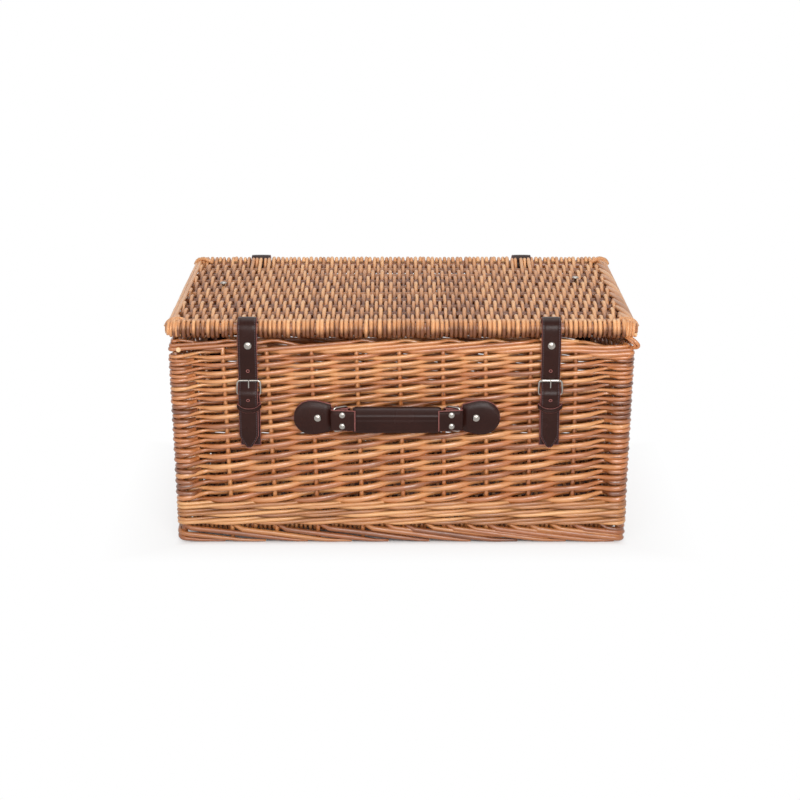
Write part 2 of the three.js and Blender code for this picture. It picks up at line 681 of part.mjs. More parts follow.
const tabFrontY = -rodY - bandOuter;
const strapRivetZ = lidZ - bandOuter - STRAP_RIVET_GAP;
const loopEndZ = strapRivetZ - STRAP_LOOP_END;
const tailTopY = tabFrontY + LEATHER / 2;
const keeperBack = LEATHER + 2 * CLEARANCE;
const tailInKeeper = keeperBack + KEEPER_THICKNESS + CLEARANCE + LEATHER / 2;

function buildStrap(side, x) {
  const tab = rectangle(tabFrontY, tabFrontY + 2 * LEATHER, loopEndZ, lidZ);
  const ring = circle(-rodY, lidZ, bandOuter, ROUND);
  const bore = alongX(circle(-rodY, lidZ, bandInner, ROUND), 2 * STRAP_WIDTH, x);
  const loop = join(alongX(ring, STRAP_WIDTH, x), alongX(tab, STRAP_WIDTH, x));
  const hole = holeAlongY(x, strapRivetZ, tabFrontY, rivetHole, 20);
  add(`strap_loop_${side}`, cut(loop, bore, hole), leather);

  const pin = add(`strap_rivet_${side}`, rivet(2 * LEATHER), nickel);
  pin.rotation.x = Math.PI;
  pin.position.set(x, tabFrontY, strapRivetZ);

  // The tail passes behind the buckle's top bar, over the heel bar and down through the keeper.
  const flat = CLEARANCE + LEATHER / 2;
  const overHeel = heelOut + foldOuter + CLEARANCE + LEATHER / 2;
  const topBarZ = buckleHeelZ + BUCKLE_HEIGHT;
  const keeperTop = keeperZ + KEEPER_HEIGHT / 2;
  const startZ = loopEndZ - CLEARANCE;
  const tail = ribbonOnFront(x, [
    [frontY(startZ) - tailTopY, startZ],
    [flat, topBarZ + 2 * BUCKLE_WIRE],
    [flat, topBarZ - BUCKLE_WIRE / 2],
    [overHeel, buckleHeelZ + heelBore + LEATHER / 2],
    [overHeel, buckleHeelZ - heelBore],
    [flat + 2 * LEATHER + CLEARANCE, buckleHeelZ - FOLD_LENGTH],
    [tailInKeeper, keeperTop + CLEARANCE],
    [tailInKeeper, strapTipZ],
  ]);
  const slotHeight = PRONG_SLOT_TOP - PRONG_SLOT_FOOT;
  const prongSlot = new THREE.BoxGeometry(PRONG_DIAMETER + 4 * CLEARANCE, 6 * LEATHER, slotHeight)
    .translate(x, frontY(buckleHeelZ) - heelOut, buckleHeelZ + PRONG_SLOT_FOOT + slotHeight / 2);
  add(`strap_tail_${side}`, cut(tail, prongSlot), leather);
}

// ---- Buckles ----
function buildBuckle(side, x) {
  const wallY = frontY(buckleHeelZ);
  const heelY = wallY - heelOut;
  const sideRoom = Math.max(BUCKLE_WIRE / 2 + CLEARANCE, BUCKLE_CORNER - CORNER_BITE);
  const width = STRAP_WIDTH + 2 * sideRoom;
  const frame = wireLoop(width, BUCKLE_HEIGHT, BUCKLE_CORNER, BUCKLE_WIRE);
  add(`buckle_frame_${side}`, frame, nickel).position.set(
    x,
    heelY,
    buckleHeelZ + BUCKLE_HEIGHT / 2,
  );

  // The prong turns on the heel bar and lies on the front of the top bar.
  const prongRadius = PRONG_DIAMETER / 2;
  const lift = BUCKLE_WIRE / 2 + prongRadius + CLEARANCE / 2;
  const eye = alongX(
    circle(heelY, buckleHeelZ, lift + prongRadius, FINE),
    PRONG_DIAMETER,
    x,
    [circle(heelY, buckleHeelZ, heelBore, FINE)],
  );
  const length = BUCKLE_HEIGHT + PRONG_OVERHANG;
  const needle = new THREE.CylinderGeometry(prongRadius * 0.8, prongRadius, length, COARSE)
    .rotateX(Math.PI / 2)
    .translate(x, heelY - lift, buckleHeelZ + length / 2);
  add(`buckle_prong_${side}`, join(eye, needle), nickel);

  // The lower strap turns round the heel bar, with a notch for the prong's eye.
  const at = (out, z) => new THREE.Vector2(frontY(z) - out, z);
  const foldFootZ = buckleHeelZ - FOLD_LENGTH;
  const outline = [
    at(CLEARANCE, buckleStrapEndZ),
    at(CLEARANCE, buckleHeelZ - foldOuter),
    ...arc(heelY, buckleHeelZ, foldOuter, 0, Math.PI, FINE),
    at(CLEARANCE + 2 * LEATHER, foldFootZ),
    at(CLEARANCE + LEATHER, foldFootZ),
    at(CLEARANCE + LEATHER, buckleStrapEndZ),
  ];
  const strap = alongX(outline, STRAP_WIDTH, x, [circle(heelY, buckleHeelZ, heelBore, FINE)]);
  const notchFoot = buckleHeelZ - 6.5;
  const notchTop = buckleHeelZ + foldOuter + CLEARANCE;
  const notch = new THREE.BoxGeometry(PRONG_DIAMETER + 4 * CLEARANCE, 2 * foldOuter + 2, notchTop - notchFoot)
    .translate(x, heelY, (notchTop + notchFoot) / 2);
  const hole = holeAlongY(x, buckleRivetZ, frontY(buckleRivetZ), rivetHole, 20);
  add(`buckle_strap_${side}`, cut(strap, notch, hole), leather);

  const pin = add(
    `buckle_rivet_${side}`,
    rivet(LEATHER + WALL + 2 * CLEARANCE, RIVET_HEAD, FLAT_RIVET_DOME),
    nickel,
  );
  pin.rotation.x = Math.PI;
  pin.position.set(x, frontY(buckleRivetZ) - CLEARANCE - LEATHER, buckleRivetZ);

  // The keeper holds the tail against the lower strap.
  const inner = LEATHER + 2 * CLEARANCE;
  const outerDepth = inner + 2 * KEEPER_THICKNESS;
  const innerWidth = STRAP_WIDTH + 2 * KEEPER_SLACK;
  const keeperY = frontY(keeperZ) - keeperBack - outerDepth / 2;
  const keeper = upwards(
    roundedRectangle(innerWidth + 2 * KEEPER_THICKNESS, outerDepth, 0.8 * KEEPER_THICKNESS, x, keeperY),
    KEEPER_HEIGHT,
    keeperZ - KEEPER_HEIGHT / 2,
    [rectangle(x - innerWidth / 2, x + innerWidth / 2, keeperY - inner / 2, keeperY + inner / 2)],
  );
  add(`keeper_${side}`, keeper, leather);
}

// ---- Handle: built flat in a group that stands on the leaning front wall ----
function buildHandle() {
  const group = new THREE.Group();
  group.position.set(HANDLE_X, frontY(handleZ), handleZ);
  group.rotation.x = lean;
  hamper.add(group);

  const sockets = Object.values(sides).map((side) =>
    new THREE.CylinderGeometry(LEATHER + CLEARANCE, LEATHER + CLEARANCE, 2 * GRIP_HEIGHT, ROUND)
      .rotateX(Math.PI / 2)
      .translate(side * endX, -gripOut, 0));
  const section = roundedRectangle(GRIP_THICKNESS, GRIP_HEIGHT, GRIP_THICKNESS * 0.4, -gripOut, 0);
  add('handle_grip', cut(alongX(section, GRIP_LENGTH), ...sockets), leather, group);

  for (const [name, side] of Object.entries(sides)) {
    const mirror = (points) =>
      side > 0 ? points : points.map((p) => new THREE.Vector2(-p.x, p.y)).reverse();

    // Folded end of the handle, with a long eye for the ring's outer bar.
    const foldHalf = eyeHalf + LEATHER;
    const eye = roundedRectangle(
      RING_SLACK + 2 * (RING_WIRE / 2 + CLEARANCE),
      2 * eyeHalf,
      eyeHalf * 0.8,
      eyeStart + RING_SLACK / 2,
      -gripOut,
    );
    const outline = [
      ...arc(endX, -gripOut, LEATHER, Math.PI / 2, (3 * Math.PI) / 2, COARSE),
      new THREE.Vector2(foldStart, -gripOut - LEATHER),
      new THREE.Vector2(foldStart + LEATHER, -gripOut - foldHalf),
      ...arc(endFoldX - foldHalf * 0.7, -gripOut, foldHalf, -Math.PI / 2, Math.PI / 2, COARSE).map(
        (p) => new THREE.Vector2(endFoldX - foldHalf * 0.7 + (p.x - endFoldX + foldHalf * 0.7) * 0.7, p.y),
      ),
      new THREE.Vector2(foldStart + LEATHER, -gripOut + foldHalf),
      new THREE.Vector2(foldStart, -gripOut + LEATHER),
    ];
    const end = upwards(mirror(outline), END_WIDTH, -END_WIDTH / 2, [mirror(eye)]);
    const rivetZs = [GRIP_RIVET_SPACING / 2, -GRIP_RIVET_SPACING / 2];
    const holes = rivetZs.map((z) => holeAlongY(side * gripRivetX, z, -gripOut, rivetHole, 20));
    add(`handle_end_${name}`, cut(end, ...holes), leather, group);
    rivetZs.forEach((z, i) => {
      const level = i ? 'lower' : 'upper';
      const head = rivet(2 * LEATHER, SMALL_RIVET_HEAD, RIVET_DOME);
      const pin = add(`handle_rivet_${name}_${level}`, head, nickel, group);
      pin.rotation.x = Math.PI;
      pin.position.set(side * gripRivetX, -gripOut - LEATHER, z);
    });

    // Wire ring between the chape and the handle.
    const ringHeight = END_WIDTH + RING_WIRE + 2 * CLEARANCE;
    const ring = wireLoop(RING_SPACING, ringHeight, RING_CORNER, RING_WIRE);
    const turned = add(`handle_ring_${name}`, ring, nickel, group);
    turned.rotation.z = -side * tilt;
    turned.position.set(side * (chapeBarX + handleBarX) / 2, -(chapeOut + gripOut) / 2, 0);

    // Chape: pear-shaped tab riveted to the wall, folded round the ring's inner bar.
    const radius = CHAPE_HEIGHT / 2;
    const neck = END_WIDTH / 2;
    const roundX = chapeEndX - radius;
    const shoulder = Math.PI * 0.62;
    const pear = [
      new THREE.Vector2(chapeBarX, -neck),
      new THREE.Vector2(endFoldX - 2, -neck),
      ...arc(roundX, 0, radius, -shoulder, shoulder, ROUND),
      new THREE.Vector2(endFoldX - 2, neck),
      new THREE.Vector2(chapeBarX, neck),
    ];
    const pad = towardsFront(mirror(pear), 2 * LEATHER, -CLEARANCE);
    const fold = upwards(
      circle(side * chapeBarX, -chapeOut, chapeFold, FINE),
      END_WIDTH,
      -END_WIDTH / 2,
    );
    const bore = upwards(circle(side * chapeBarX, -chapeOut, chapeBore, FINE), 2 * END_WIDTH, -END_WIDTH);
    const hole = holeAlongY(side * chapeRivetX, 0, 0, rivetHole, 30);
    add(`handle_chape_${name}`, cut(join(pad, fold), bore, hole), leather, group);

    const pin = add(`chape_rivet_${name}`, rivet(2 * LEATHER + WALL + 2 * CLEARANCE), nickel, group);
    pin.rotation.x = Math.PI;
    pin.position.set(side * chapeRivetX, -CLEARANCE - 2 * LEATHER, 0);
  }
}

// ---- Lid stays: leather straps that hold the open lid, folded at a knee when it is shut ----
const stayWallZ = BODY_HEIGHT - STAY_WALL_DROP;
const stayTopZ = lidZ - lidHalf - CLEARANCE - STAY_THICKNESS / 2;

// The strap is as long as the open lid needs. Shut in, it hangs from both ends in a vertical plane,
// and the knee is its lowest point. Each half ends just short of it, so that the two stay apart.
// Ends and knee are [y, z].
function kneeBetween(lidEnd, wallEnd) {
  const hinge = new THREE.Vector2(rodY, lidZ);
  const opened = lidEnd.clone().rotateAround(hinge, -THREE.MathUtils.degToRad(LID_OPENING));
  const length = opened.distanceTo(wallEnd);
  const sine = (wallEnd.x - lidEnd.x) / length;
  const cosine = Math.sqrt(1 - sine ** 2);
  const upper = (length + (lidEnd.y - wallEnd.y) / cosine) / 2;
  return {
    knee: lidEnd.clone().add(new THREE.Vector2(upper * sine, -upper * cosine)),
    fold: (STAY_THICKNESS / 2 + CLEARANCE) / sine,
  };
}

function buildStay(side, place) {
  const sign = sides[side];
  const halfWidth = STAY_WIDTH / 2;
  const lidTab = new THREE.Vector3(place.x, place.y, stayTopZ);
  const bend = lidTab.clone().add(new THREE.Vector3(0, halfWidth, -STAY_THICKNESS / 2));
  const wallX = sign * (innerSideX(stayWallZ) - CLEARANCE - STAY_THICKNESS / 2);
  const wallEnd = new THREE.Vector3(wallX, place.y + STAY_RUN, stayWallZ);
  const { knee, fold } = kneeBetween(
    new THREE.Vector2(bend.y, bend.z),
    new THREE.Vector2(wallEnd.y, wallEnd.z),
  );
  const kneeX = sign * (innerSideX(knee.y) - STAY_KNEE_GAP - halfWidth);
  const kneeAt = new THREE.Vector3(kneeX, knee.x, knee.y);

  const across = X.clone().multiplyScalar(halfWidth);
  const toKnee = kneeAt.clone().sub(bend).normalize();
  const upper = strip(
    [
      { at: lidTab.clone().addScaledVector(Y, -halfWidth), across },
      { at: lidTab.clone().addScaledVector(Y, 0.75 * halfWidth), across },
      { at: bend.clone().addScaledVector(toKnee, STAY_THICKNESS), across },
      { at: kneeAt.clone().addScaledVector(toKnee, -fold), across },
    ],
    STAY_THICKNESS,
  );
  const lidHole = new THREE.CylinderGeometry(rivetHole, rivetHole, 4 * STAY_THICKNESS, FINE)
    .rotateX(Math.PI / 2)
    .translate(lidTab.x, lidTab.y, lidTab.z);
  add(`stay_upper_${side}`, cut(upper, lidHole), leather);

  // The lower half turns a quarter on its way, so that it lies flat on the side wall.
  const rise = wallEnd.clone().sub(kneeAt);
  const length = rise.length();
  const flatAcross = rise.clone().cross(X).normalize().multiplyScalar(halfWidth * sign);
  const flatFrom = 1 - halfWidth / length;
  const turns = [[fold / length, 0], [0.4, 0], [0.58, 0.4], [0.72, 0.85], [flatFrom, 1]];
  const stations = turns.map(([t, turn]) => ({
    at: kneeAt.clone().addScaledVector(rise, t).setX(
      THREE.MathUtils.lerp(kneeX, wallX, Math.min(1, t / flatFrom))),
    across: across.clone().lerp(flatAcross, turn).setLength(halfWidth),
  }));
  const beyond = rise.clone().setX(0).setLength(halfWidth);
  stations.push({ at: wallEnd.clone().add(beyond), across: flatAcross });
  const wallHole = new THREE.CylinderGeometry(rivetHole, rivetHole, 4 * STAY_THICKNESS, FINE)
    .rotateZ(Math.PI / 2)
    .translate(wallEnd.x, wallEnd.y, wallEnd.z);
  add(`stay_lower_${side}`, cut(strip(stations, STAY_THICKNESS), wallHole), leather);

  const onLid = add(
    `stay_lid_rivet_${side}`,
    rivet(2 * lidHalf + STAY_THICKNESS + 2 * CLEARANCE),
    nickel,
  );
  onLid.rotation.x = Math.PI / 2;
  onLid.position.set(place.x, place.y, lidZ + lidHalf);

  const onWall = add(
    `stay_wall_rivet_${side}`,
    rivet(WALL + STAY_THICKNESS + 2 * CLEARANCE, SMALL_RIVET_HEAD, FLAT_RIVET_DOME),
    nickel,
  );
  onWall.rotation.z = (sign * Math.PI) / 2;
  onWall.position.copy(wallEnd).addScaledVector(X, (-sign * STAY_THICKNESS) / 2);
}

buildBody();
buildBase();
buildLid();
buildHinges();
for (const [side, x] of Object.entries(closures)) {
  buildStrap(side, x);
  buildBuckle(side, x);
}
buildHandle();
for (const [side, place] of Object.entries(stays)) buildStay(side, place);

// The origin is centred under the whole object, handle and hinges included.
hamper.updateMatrixWorld(true);
const box = new THREE.Box3().setFromObject(hamper, true);
hamper.children.forEach((child) => {
  child.position.y -= (box.min.y + box.max.y) / 2;
});

const part = new THREE.Group();
part.add(hamper);
export default part;
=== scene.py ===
"""A lidded willow picnic hamper: woven willow, leather straps and handle, nickel fittings."""

import json
import math

import bpy
import bmesh
import numpy as np
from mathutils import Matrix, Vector


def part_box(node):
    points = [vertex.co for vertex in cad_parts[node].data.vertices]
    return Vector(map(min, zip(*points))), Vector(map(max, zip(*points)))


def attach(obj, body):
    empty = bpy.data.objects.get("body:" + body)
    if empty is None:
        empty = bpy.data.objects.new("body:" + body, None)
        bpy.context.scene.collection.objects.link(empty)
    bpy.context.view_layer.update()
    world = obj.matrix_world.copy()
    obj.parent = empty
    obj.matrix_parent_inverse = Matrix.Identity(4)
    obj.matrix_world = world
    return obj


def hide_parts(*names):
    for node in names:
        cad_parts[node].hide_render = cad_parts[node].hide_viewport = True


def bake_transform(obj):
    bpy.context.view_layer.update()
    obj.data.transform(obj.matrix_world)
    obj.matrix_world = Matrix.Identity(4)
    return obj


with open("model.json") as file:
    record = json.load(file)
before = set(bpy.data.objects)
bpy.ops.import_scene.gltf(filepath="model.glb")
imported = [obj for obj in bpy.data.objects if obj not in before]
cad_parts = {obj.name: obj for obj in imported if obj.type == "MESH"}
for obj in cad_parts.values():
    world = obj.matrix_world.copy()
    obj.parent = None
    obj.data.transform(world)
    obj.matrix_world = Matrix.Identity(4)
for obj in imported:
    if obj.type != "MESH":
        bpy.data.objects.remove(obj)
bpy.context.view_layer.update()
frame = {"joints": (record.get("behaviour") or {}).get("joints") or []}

MM = 0.001  # lengths are in millimetres, until a mesh is made from them
X, Y, Z = np.eye(3)
SIDES = {"left": -1, "right": 1}
random = np.random.RandomState(11)


def metres(x, y, z):
    return x * MM, y * MM, z * MM


class Box:
    """A CAD node's box in millimetres: its faces, its middle, its sizes and, for a piece on the left
    or right, the sign of its side and its ends near the hamper's middle and far from it."""

    def __init__(self, node):
        lo, hi = (np.array(corner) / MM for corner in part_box(node))
        self.left, self.front, self.bottom = lo
        self.right, self.back, self.top = hi
        self.x, self.y, self.z = (lo + hi) / 2
        self.width, self.depth, self.height = hi - lo
        self.sign = 1 if self.x > 0 else -1
        self.near, self.far = (self.left, self.right)[::self.sign]


FOOT = Box("foot_border")
WALE = Box("bottom_wale")
SIDE = Box("side_weave")
BORDER = Box("stakes_and_border")
BASE = Box("base_weave")
LID = Box("lid_weave")
FRONT_ROD = Box("lid_front_rod")
BACK_ROD = Box("lid_back_rod")
LID_FRAME = Box("lid_stick_frame")


# ---- Shader nodes ----
def set_inputs(tree, node, inputs):
    """Each input is linked where a socket is given for it, and else set."""
    for key, value in inputs.items():
        socket = node.inputs[key]
        if isinstance(value, bpy.types.NodeSocket):
            tree.links.new(value, socket)
        elif socket.type == "RGBA":
            socket.default_value = (*value, 1)
        else:
            socket.default_value = value


def add_node(tree, kind, inputs=None, output=0, **settings):
    """A new node's output, or all of them where `output` is None."""
    node = tree.nodes.new(kind)
    for key, value in settings.items():
        setattr(node, key, value)
    set_inputs(tree, node, inputs or {})
    return node.outputs if output is None else node.outputs[output]


def new_material(name):
    material = bpy.data.materials.new(name)
    material.use_nodes = True
    return material, material.node_tree, material.node_tree.nodes["Principled BSDF"]


def maths(tree, operation, first, second=0.0, third=0.0):
    return add_node(tree, "ShaderNodeMath", {0: first, 1: second, 2: third}, operation=operation)


def mix_colour(tree, factor, first, second):
    return add_node(tree, "ShaderNodeMix", {0: factor, 6: first, 7: second}, 2, data_type="RGBA")


def colour_ramp(tree, factor, colours):
    """The first of three colours at 0, the second half way and the third at 1."""
    output = add_node(tree, "ShaderNodeValToRGB", {0: factor})
    elements = output.node.color_ramp.elements
    elements.new(0.5)
    for element, colour in zip(elements, colours):
        element.color = (*colour, 1)
    return output


def stretched(tree, vector, scale):
    return add_node(tree, "ShaderNodeVectorMath", {0: vector, 1: scale}, operation="MULTIPLY")


def noise(tree, vector, scale, detail=2.0, roughness=0.5):
    inputs = {"Vector": vector, "Scale": scale, "Detail": detail, "Roughness": roughness}
    return add_node(tree, "ShaderNodeTexNoise", inputs)


def cells(tree, vector, scale):
    return add_node(tree, "ShaderNodeTexVoronoi", {"Vector": vector, "Scale": scale}, "Distance")


def object_place(tree):
    return add_node(tree, "ShaderNodeTexCoord", output="Object")


def attribute(tree, name, output="Fac"):
    return add_node(tree, "ShaderNodeAttribute", output=output, attribute_name=name)


def remapped(tree, value, low, high, at_low, at_high):
    inputs = {"Value": value, "From Min": low, "From Max": high, "To Min": at_low, "To Max": at_high}
    return add_node(tree, "ShaderNodeMapRange", inputs)


def bump(tree, height, strength, distance):
    inputs = {"Strength": strength, "Distance": distance, "Height": height}
    return add_node(tree, "ShaderNodeBump", inputs)


def srgb(*colour):
    """A colour written as it looks, from 0 to 255, as the linear values that shaders take."""
    shares = [c / 255 for c in colour]
    return tuple((c / 12.92 if c <= 0.04045 else ((c + 0.055) / 1.055) ** 2.4) for c in shares)


def dimmed(colour, share):
    return tuple(c * share for c in colour)


# ---- Materials ----
CUT_WILLOW = srgb(222, 182, 136)
LEATHER_COLOUR = srgb(44, 21, 16)
THREAD = srgb(74, 62, 66)
RAW_LEATHER = [srgb(120, 70, 66), srgb(178, 114, 108)]
STITCH_INSET = 2.0
STITCH_HALF_WIDTH = 0.36
STITCH_LENGTH = 2.6
STITCH_SHOWN = 0.62  # of a stitch's length, until it dips into the leather


def willow_material(name, dark, middle, pale, gloss, shine):
    """Peeled willow: each rod has its own tone, with streaks along it, knots and pale cut ends."""
    material, tree, shader = new_material(name)
    grain = attribute(tree, "grain", "Vector")
    tone = attribute(tree, "tone")
    patches = noise(tree, stretched(tree, grain, (18, 60, 60)), 1.0, 3.0)
    streaks = noise(tree, stretched(tree, grain, (40, 900, 900)), 1.0, 3.0, 0.6)
    fibres = noise(tree, stretched(tree, grain, (90, 3200, 3200)), 1.0)
    patched = maths(tree, "ADD", tone, maths(tree, "MULTIPLY_ADD", patches, 0.8, -0.4))
    factor = maths(tree, "ADD", patched, maths(tree, "MULTIPLY_ADD", streaks, 0.5, -0.25))
    colour = colour_ramp(tree, factor, [srgb(*dark), srgb(*middle), srgb(*pale)])
    is_knot = remapped(tree, cells(tree, stretched(tree, grain, (13, 150, 150)), 1.0), 0.05, 0.13, 0.75, 0.0)
    knotted = mix_colour(tree, is_knot, colour, dimmed(srgb(*dark), 0.45))
    set_inputs(tree, shader, {
        "Base Color": mix_colour(tree, attribute(tree, "cut"), knotted, CUT_WILLOW),
        "Roughness": maths(tree, "MULTIPLY_ADD", streaks, 0.22, gloss),
        "Specular IOR Level": shine,
        "Normal": bump(tree, maths(tree, "ADD", fibres, streaks), 0.35, 0.4 * MM),
    })
    return material


def leather_material():
    """Dark dressed leather: fine pores and soft creases in front, pinkish where it is cut, and a
    sunk row of stitches beside each sewn edge."""
    material, tree, shader = new_material("dark_leather")
    place = object_place(tree)
    strip = attribute(tree, "strip", "Vector")
    along, inset, sewn = add_node(tree, "ShaderNodeSeparateXYZ", {0: strip}, None)
    pores = cells(tree, place, 1400.0)
    creases = noise(tree, place, 150.0, 4.0, 0.6)
    broad = noise(tree, place, 30.0, 3.0)
    shade = mix_colour(tree, broad, dimmed(LEATHER_COLOUR, 0.6), dimmed(LEATHER_COLOUR, 1.35))
    in_row = maths(tree, "COMPARE", inset, STITCH_INSET, STITCH_HALF_WIDTH)
    beat = maths(tree, "FRACT", maths(tree, "DIVIDE", along, STITCH_LENGTH))
    sewn_row = maths(tree, "MULTIPLY", in_row, sewn)
    thread = maths(tree, "MULTIPLY", sewn_row, maths(tree, "LESS_THAN", beat, STITCH_SHOWN))
    stitched = mix_colour(tree, thread, shade, THREAD)
    raw = attribute(tree, "raw")
    cut_edge = mix_colour(tree, noise(tree, place, 900.0, 3.0, 0.7), *RAW_LEATHER)
    colour = mix_colour(tree, raw, stitched, cut_edge)
    rough = maths(tree, "MULTIPLY_ADD", raw, 0.35, maths(tree, "MULTIPLY_ADD", broad, 0.2, 0.17))
    height = maths(tree, "ADD", pores, maths(tree, "MULTIPLY", creases, 1.6))
    height = maths(tree, "MULTIPLY_ADD", thread, 2.0, height)
    set_inputs(tree, shader, {
        "Base Color": colour,
        "Roughness": rough,
        "Specular IOR Level": 0.14,
        "Normal": bump(tree, height, 0.3, 0.2 * MM),
    })
    return material


def nickel_material():
    """Bright nickel plate with faint handling marks."""
    material, tree, shader = new_material("bright_nickel")
    marks = noise(tree, object_place(tree), 500.0, 4.0, 0.7)
    set_inputs(tree, shader, {
        "Base Color": mix_colour(tree, marks, srgb(126, 119, 112), srgb(188, 182, 175)),
        "Roughness": maths(tree, "MULTIPLY_ADD", marks, 0.12, 0.08),
        "Metallic": 1.0,
        "Normal": bump(tree, marks, 0.08, 0.1 * MM),
    })
    return material


WILLOW = willow_material("side_willow", (108, 57, 27), (180, 109, 59), (216, 156, 98), 0.17, 0.95)
WILLOW_DARK = willow_material("foot_willow", (80, 41, 20), (152, 88, 47), (188, 126, 72), 0.22, 0.75)
WILLOW_PALE = willow_material("pale_willow", (128, 75, 39), (190, 129, 78), (217, 163, 108), 0.22, 0.75)
LID_WILLOW = willow_material("lid_willow", (112, 63, 33), (207, 145, 95), (233, 178, 125), 0.25, 0.6)
LEATHER = leather_material()
NICKEL = nickel_material()


# ---- Paths and numbers ----
def path(x, y, z):
    """Points from their coordinates. A single number holds for all of them."""
    return np.stack(np.broadcast_arrays(x, y, z), axis=-1)


def unit(vectors):
    return vectors / np.linalg.norm(vectors, axis=-1, keepdims=True)


def lengths_along(points):
    """How far along a path each of its points is."""
    return np.concatenate([[0], np.cumsum(np.linalg.norm(np.diff(points, axis=0), axis=1))])


def directions(points, closed=False):
    """The unit direction of a path at each of its points."""
    if closed:
        return unit(np.roll(points, -1, axis=0) - np.roll(points, 1, axis=0))
    return unit(np.gradient(points, axis=0))


def resample(points, step):
    """The same path with points an even step apart."""
    points = np.asarray(points, float)
    gone = lengths_along(points)
    marks = np.linspace(0, gone[-1], max(2, int(round(gone[-1] / step)) + 1))
    return np.stack([np.interp(marks, gone, column) for column in points.T], axis=-1)


def blurred(values, reach):
    """The mean of each value and its neighbours up to `reach` away. The ends are used up."""
    width = 2 * reach + 1
    return np.convolve(values, np.ones(width) / width, "valid")


def soften(points, step, width):
    """A path through the points, with its corners rounded over a width."""
    reach = 4
    fine = resample(points, width / (2 * reach))
    fine = np.pad(fine, ((reach, reach), (0, 0)), "reflect", reflect_type="odd")
    return resample(np.stack([blurred(column, reach) for column in fine.T], axis=-1), step)


def wander(count, amount, smooth=1):
    """A slow random drift of `count` values, up to `amount` either way."""
    return blurred(random.uniform(-amount, amount, count + 2 * smooth), smooth)


def smoothstep(t):
    t = np.clip(t, 0, 1)
    return t * t * (3 - 2 * t)


def turn_of(sides):
    """Angles all the way round."""
    return np.linspace(0, 2 * math.pi, sides, endpoint=False)


# ---- Skins: every piece is closed tubes of rings, gathered into one mesh ----
def round_rings(points, radius, up, sides, flat=1.0, closed=False):
    """Rings round a path. `up` is any direction well away from the path's own."""
    along = directions(points, closed)
    up = np.asarray(up, float)
    high = unit(up - np.sum(up * along, axis=1)[:, None] * along)
    wide = np.cross(along, high)
    high = high * np.broadcast_to(flat, len(points))[:, None]
    turn = turn_of(sides)[None, :, None]
    ring = np.cos(turn) * high[:, None] + np.sin(turn) * wide[:, None]
    return points[:, None] + ring * np.broadcast_to(radius, len(points))[:, None, None]


class Skin:
    """Tubes gathered into one mesh, with the attributes that their material reads."""

    def __init__(self):
        self.tubes = []

    def tube(self, rings, closed=False, **values):
        """A tube through rings of points, which closes on itself or is capped at its ends."""
        self.tubes.append((rings, closed, values))

    def faces(self):
        """Faces, and the place in the bake map of each of their corners: a row for each tube."""
        faces = []
        corners = []
        first = 0
        lengths = [lengths_along(rings.mean(axis=1)) for rings, _, _ in self.tubes]
        longest = max(gone[-1] for gone in lengths)
        row = 1 / len(self.tubes)
        for number, (rings, closed, _) in enumerate(self.tubes):
            count, sides = rings.shape[:2]
            index = first + np.arange(count * sides).reshape(count, sides)
            first += count * sides
            u = 0.02 + 0.96 * lengths[number] / longest
            if closed:
                index = np.vstack([index, index[:1]])
                u = np.append(u, u[-1] + (u[1] - u[0]) * 0.5)
            after = np.roll(index, -1, axis=1)
            quads = np.stack([index[:-1], after[:-1], after[1:], index[1:]], axis=-1)
            v = row * (number + 0.08 + 0.84 * np.arange(sides + 1) / sides)
            here = np.empty((len(u) - 1, sides, 4, 2))
            here[..., 0] = np.stack([u[:-1], u[:-1], u[1:], u[1:]], axis=-1)[:, None]
            here[..., 1] = np.stack([v[:-1], v[1:], v[1:], v[:-1]], axis=-1)[None]
            faces.extend(quads.reshape(-1, 4).tolist())
            corners.append(here.reshape(-1, 2))
            if not closed:
                turn = turn_of(sides)
                disc = np.stack([np.cos(turn) * 0.006, np.sin(turn) * row * 0.3], axis=-1)
                faces += [index[0][::-1].tolist(), index[-1].tolist()]
                corners += [disc + (edge, row * (number + 0.5)) for edge in (0.01, 0.99)]
        return faces, np.concatenate(corners)

    def build(self, name, material, slot, body, *nodes, flat_ends=True):
        """The piece joins the scene, rides on its body and stands for the CAD nodes it replaces."""
        faces, corners = self.faces()
        mesh = bpy.data.meshes.new(name)
        vertices = np.concatenate([rings.reshape(-1, 3) for rings, _, _ in self.tubes]) * MM
        mesh.from_pydata(vertices.tolist(), [], faces)
        mesh.polygons.foreach_set("use_smooth", [len(face) == 4 or not flat_ends for face in faces])
        for label, example in self.tubes[0][2].items():
            kind, field = ("FLOAT_VECTOR", "vector") if example.ndim == 3 else ("FLOAT", "value")
            whole = np.concatenate([values[label].ravel() for _, _, values in self.tubes])
            mesh.attributes.new(label, kind, "POINT").data.foreach_set(field, whole)
        mesh.uv_layers.new(name="OFBake").data.foreach_set("uv", corners.ravel())
        mesh.materials.append(material)
        tidy = bmesh.new()
        tidy.from_mesh(mesh)
        bmesh.ops.recalc_face_normals(tidy, faces=tidy.faces)
        tidy.to_mesh(mesh)
        tidy.free()
        piece = bpy.data.objects.new(name, mesh)
        bpy.context.scene.collection.objects.link(piece)
        if body:
            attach(piece, body)
        if nodes:
            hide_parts(*nodes)
        return piece


CUT_BEVEL = 0.15  # the length of the bevel at a rod's cut end, in its radius
CUT_SHARE = 0.82  # and the radius where it ends


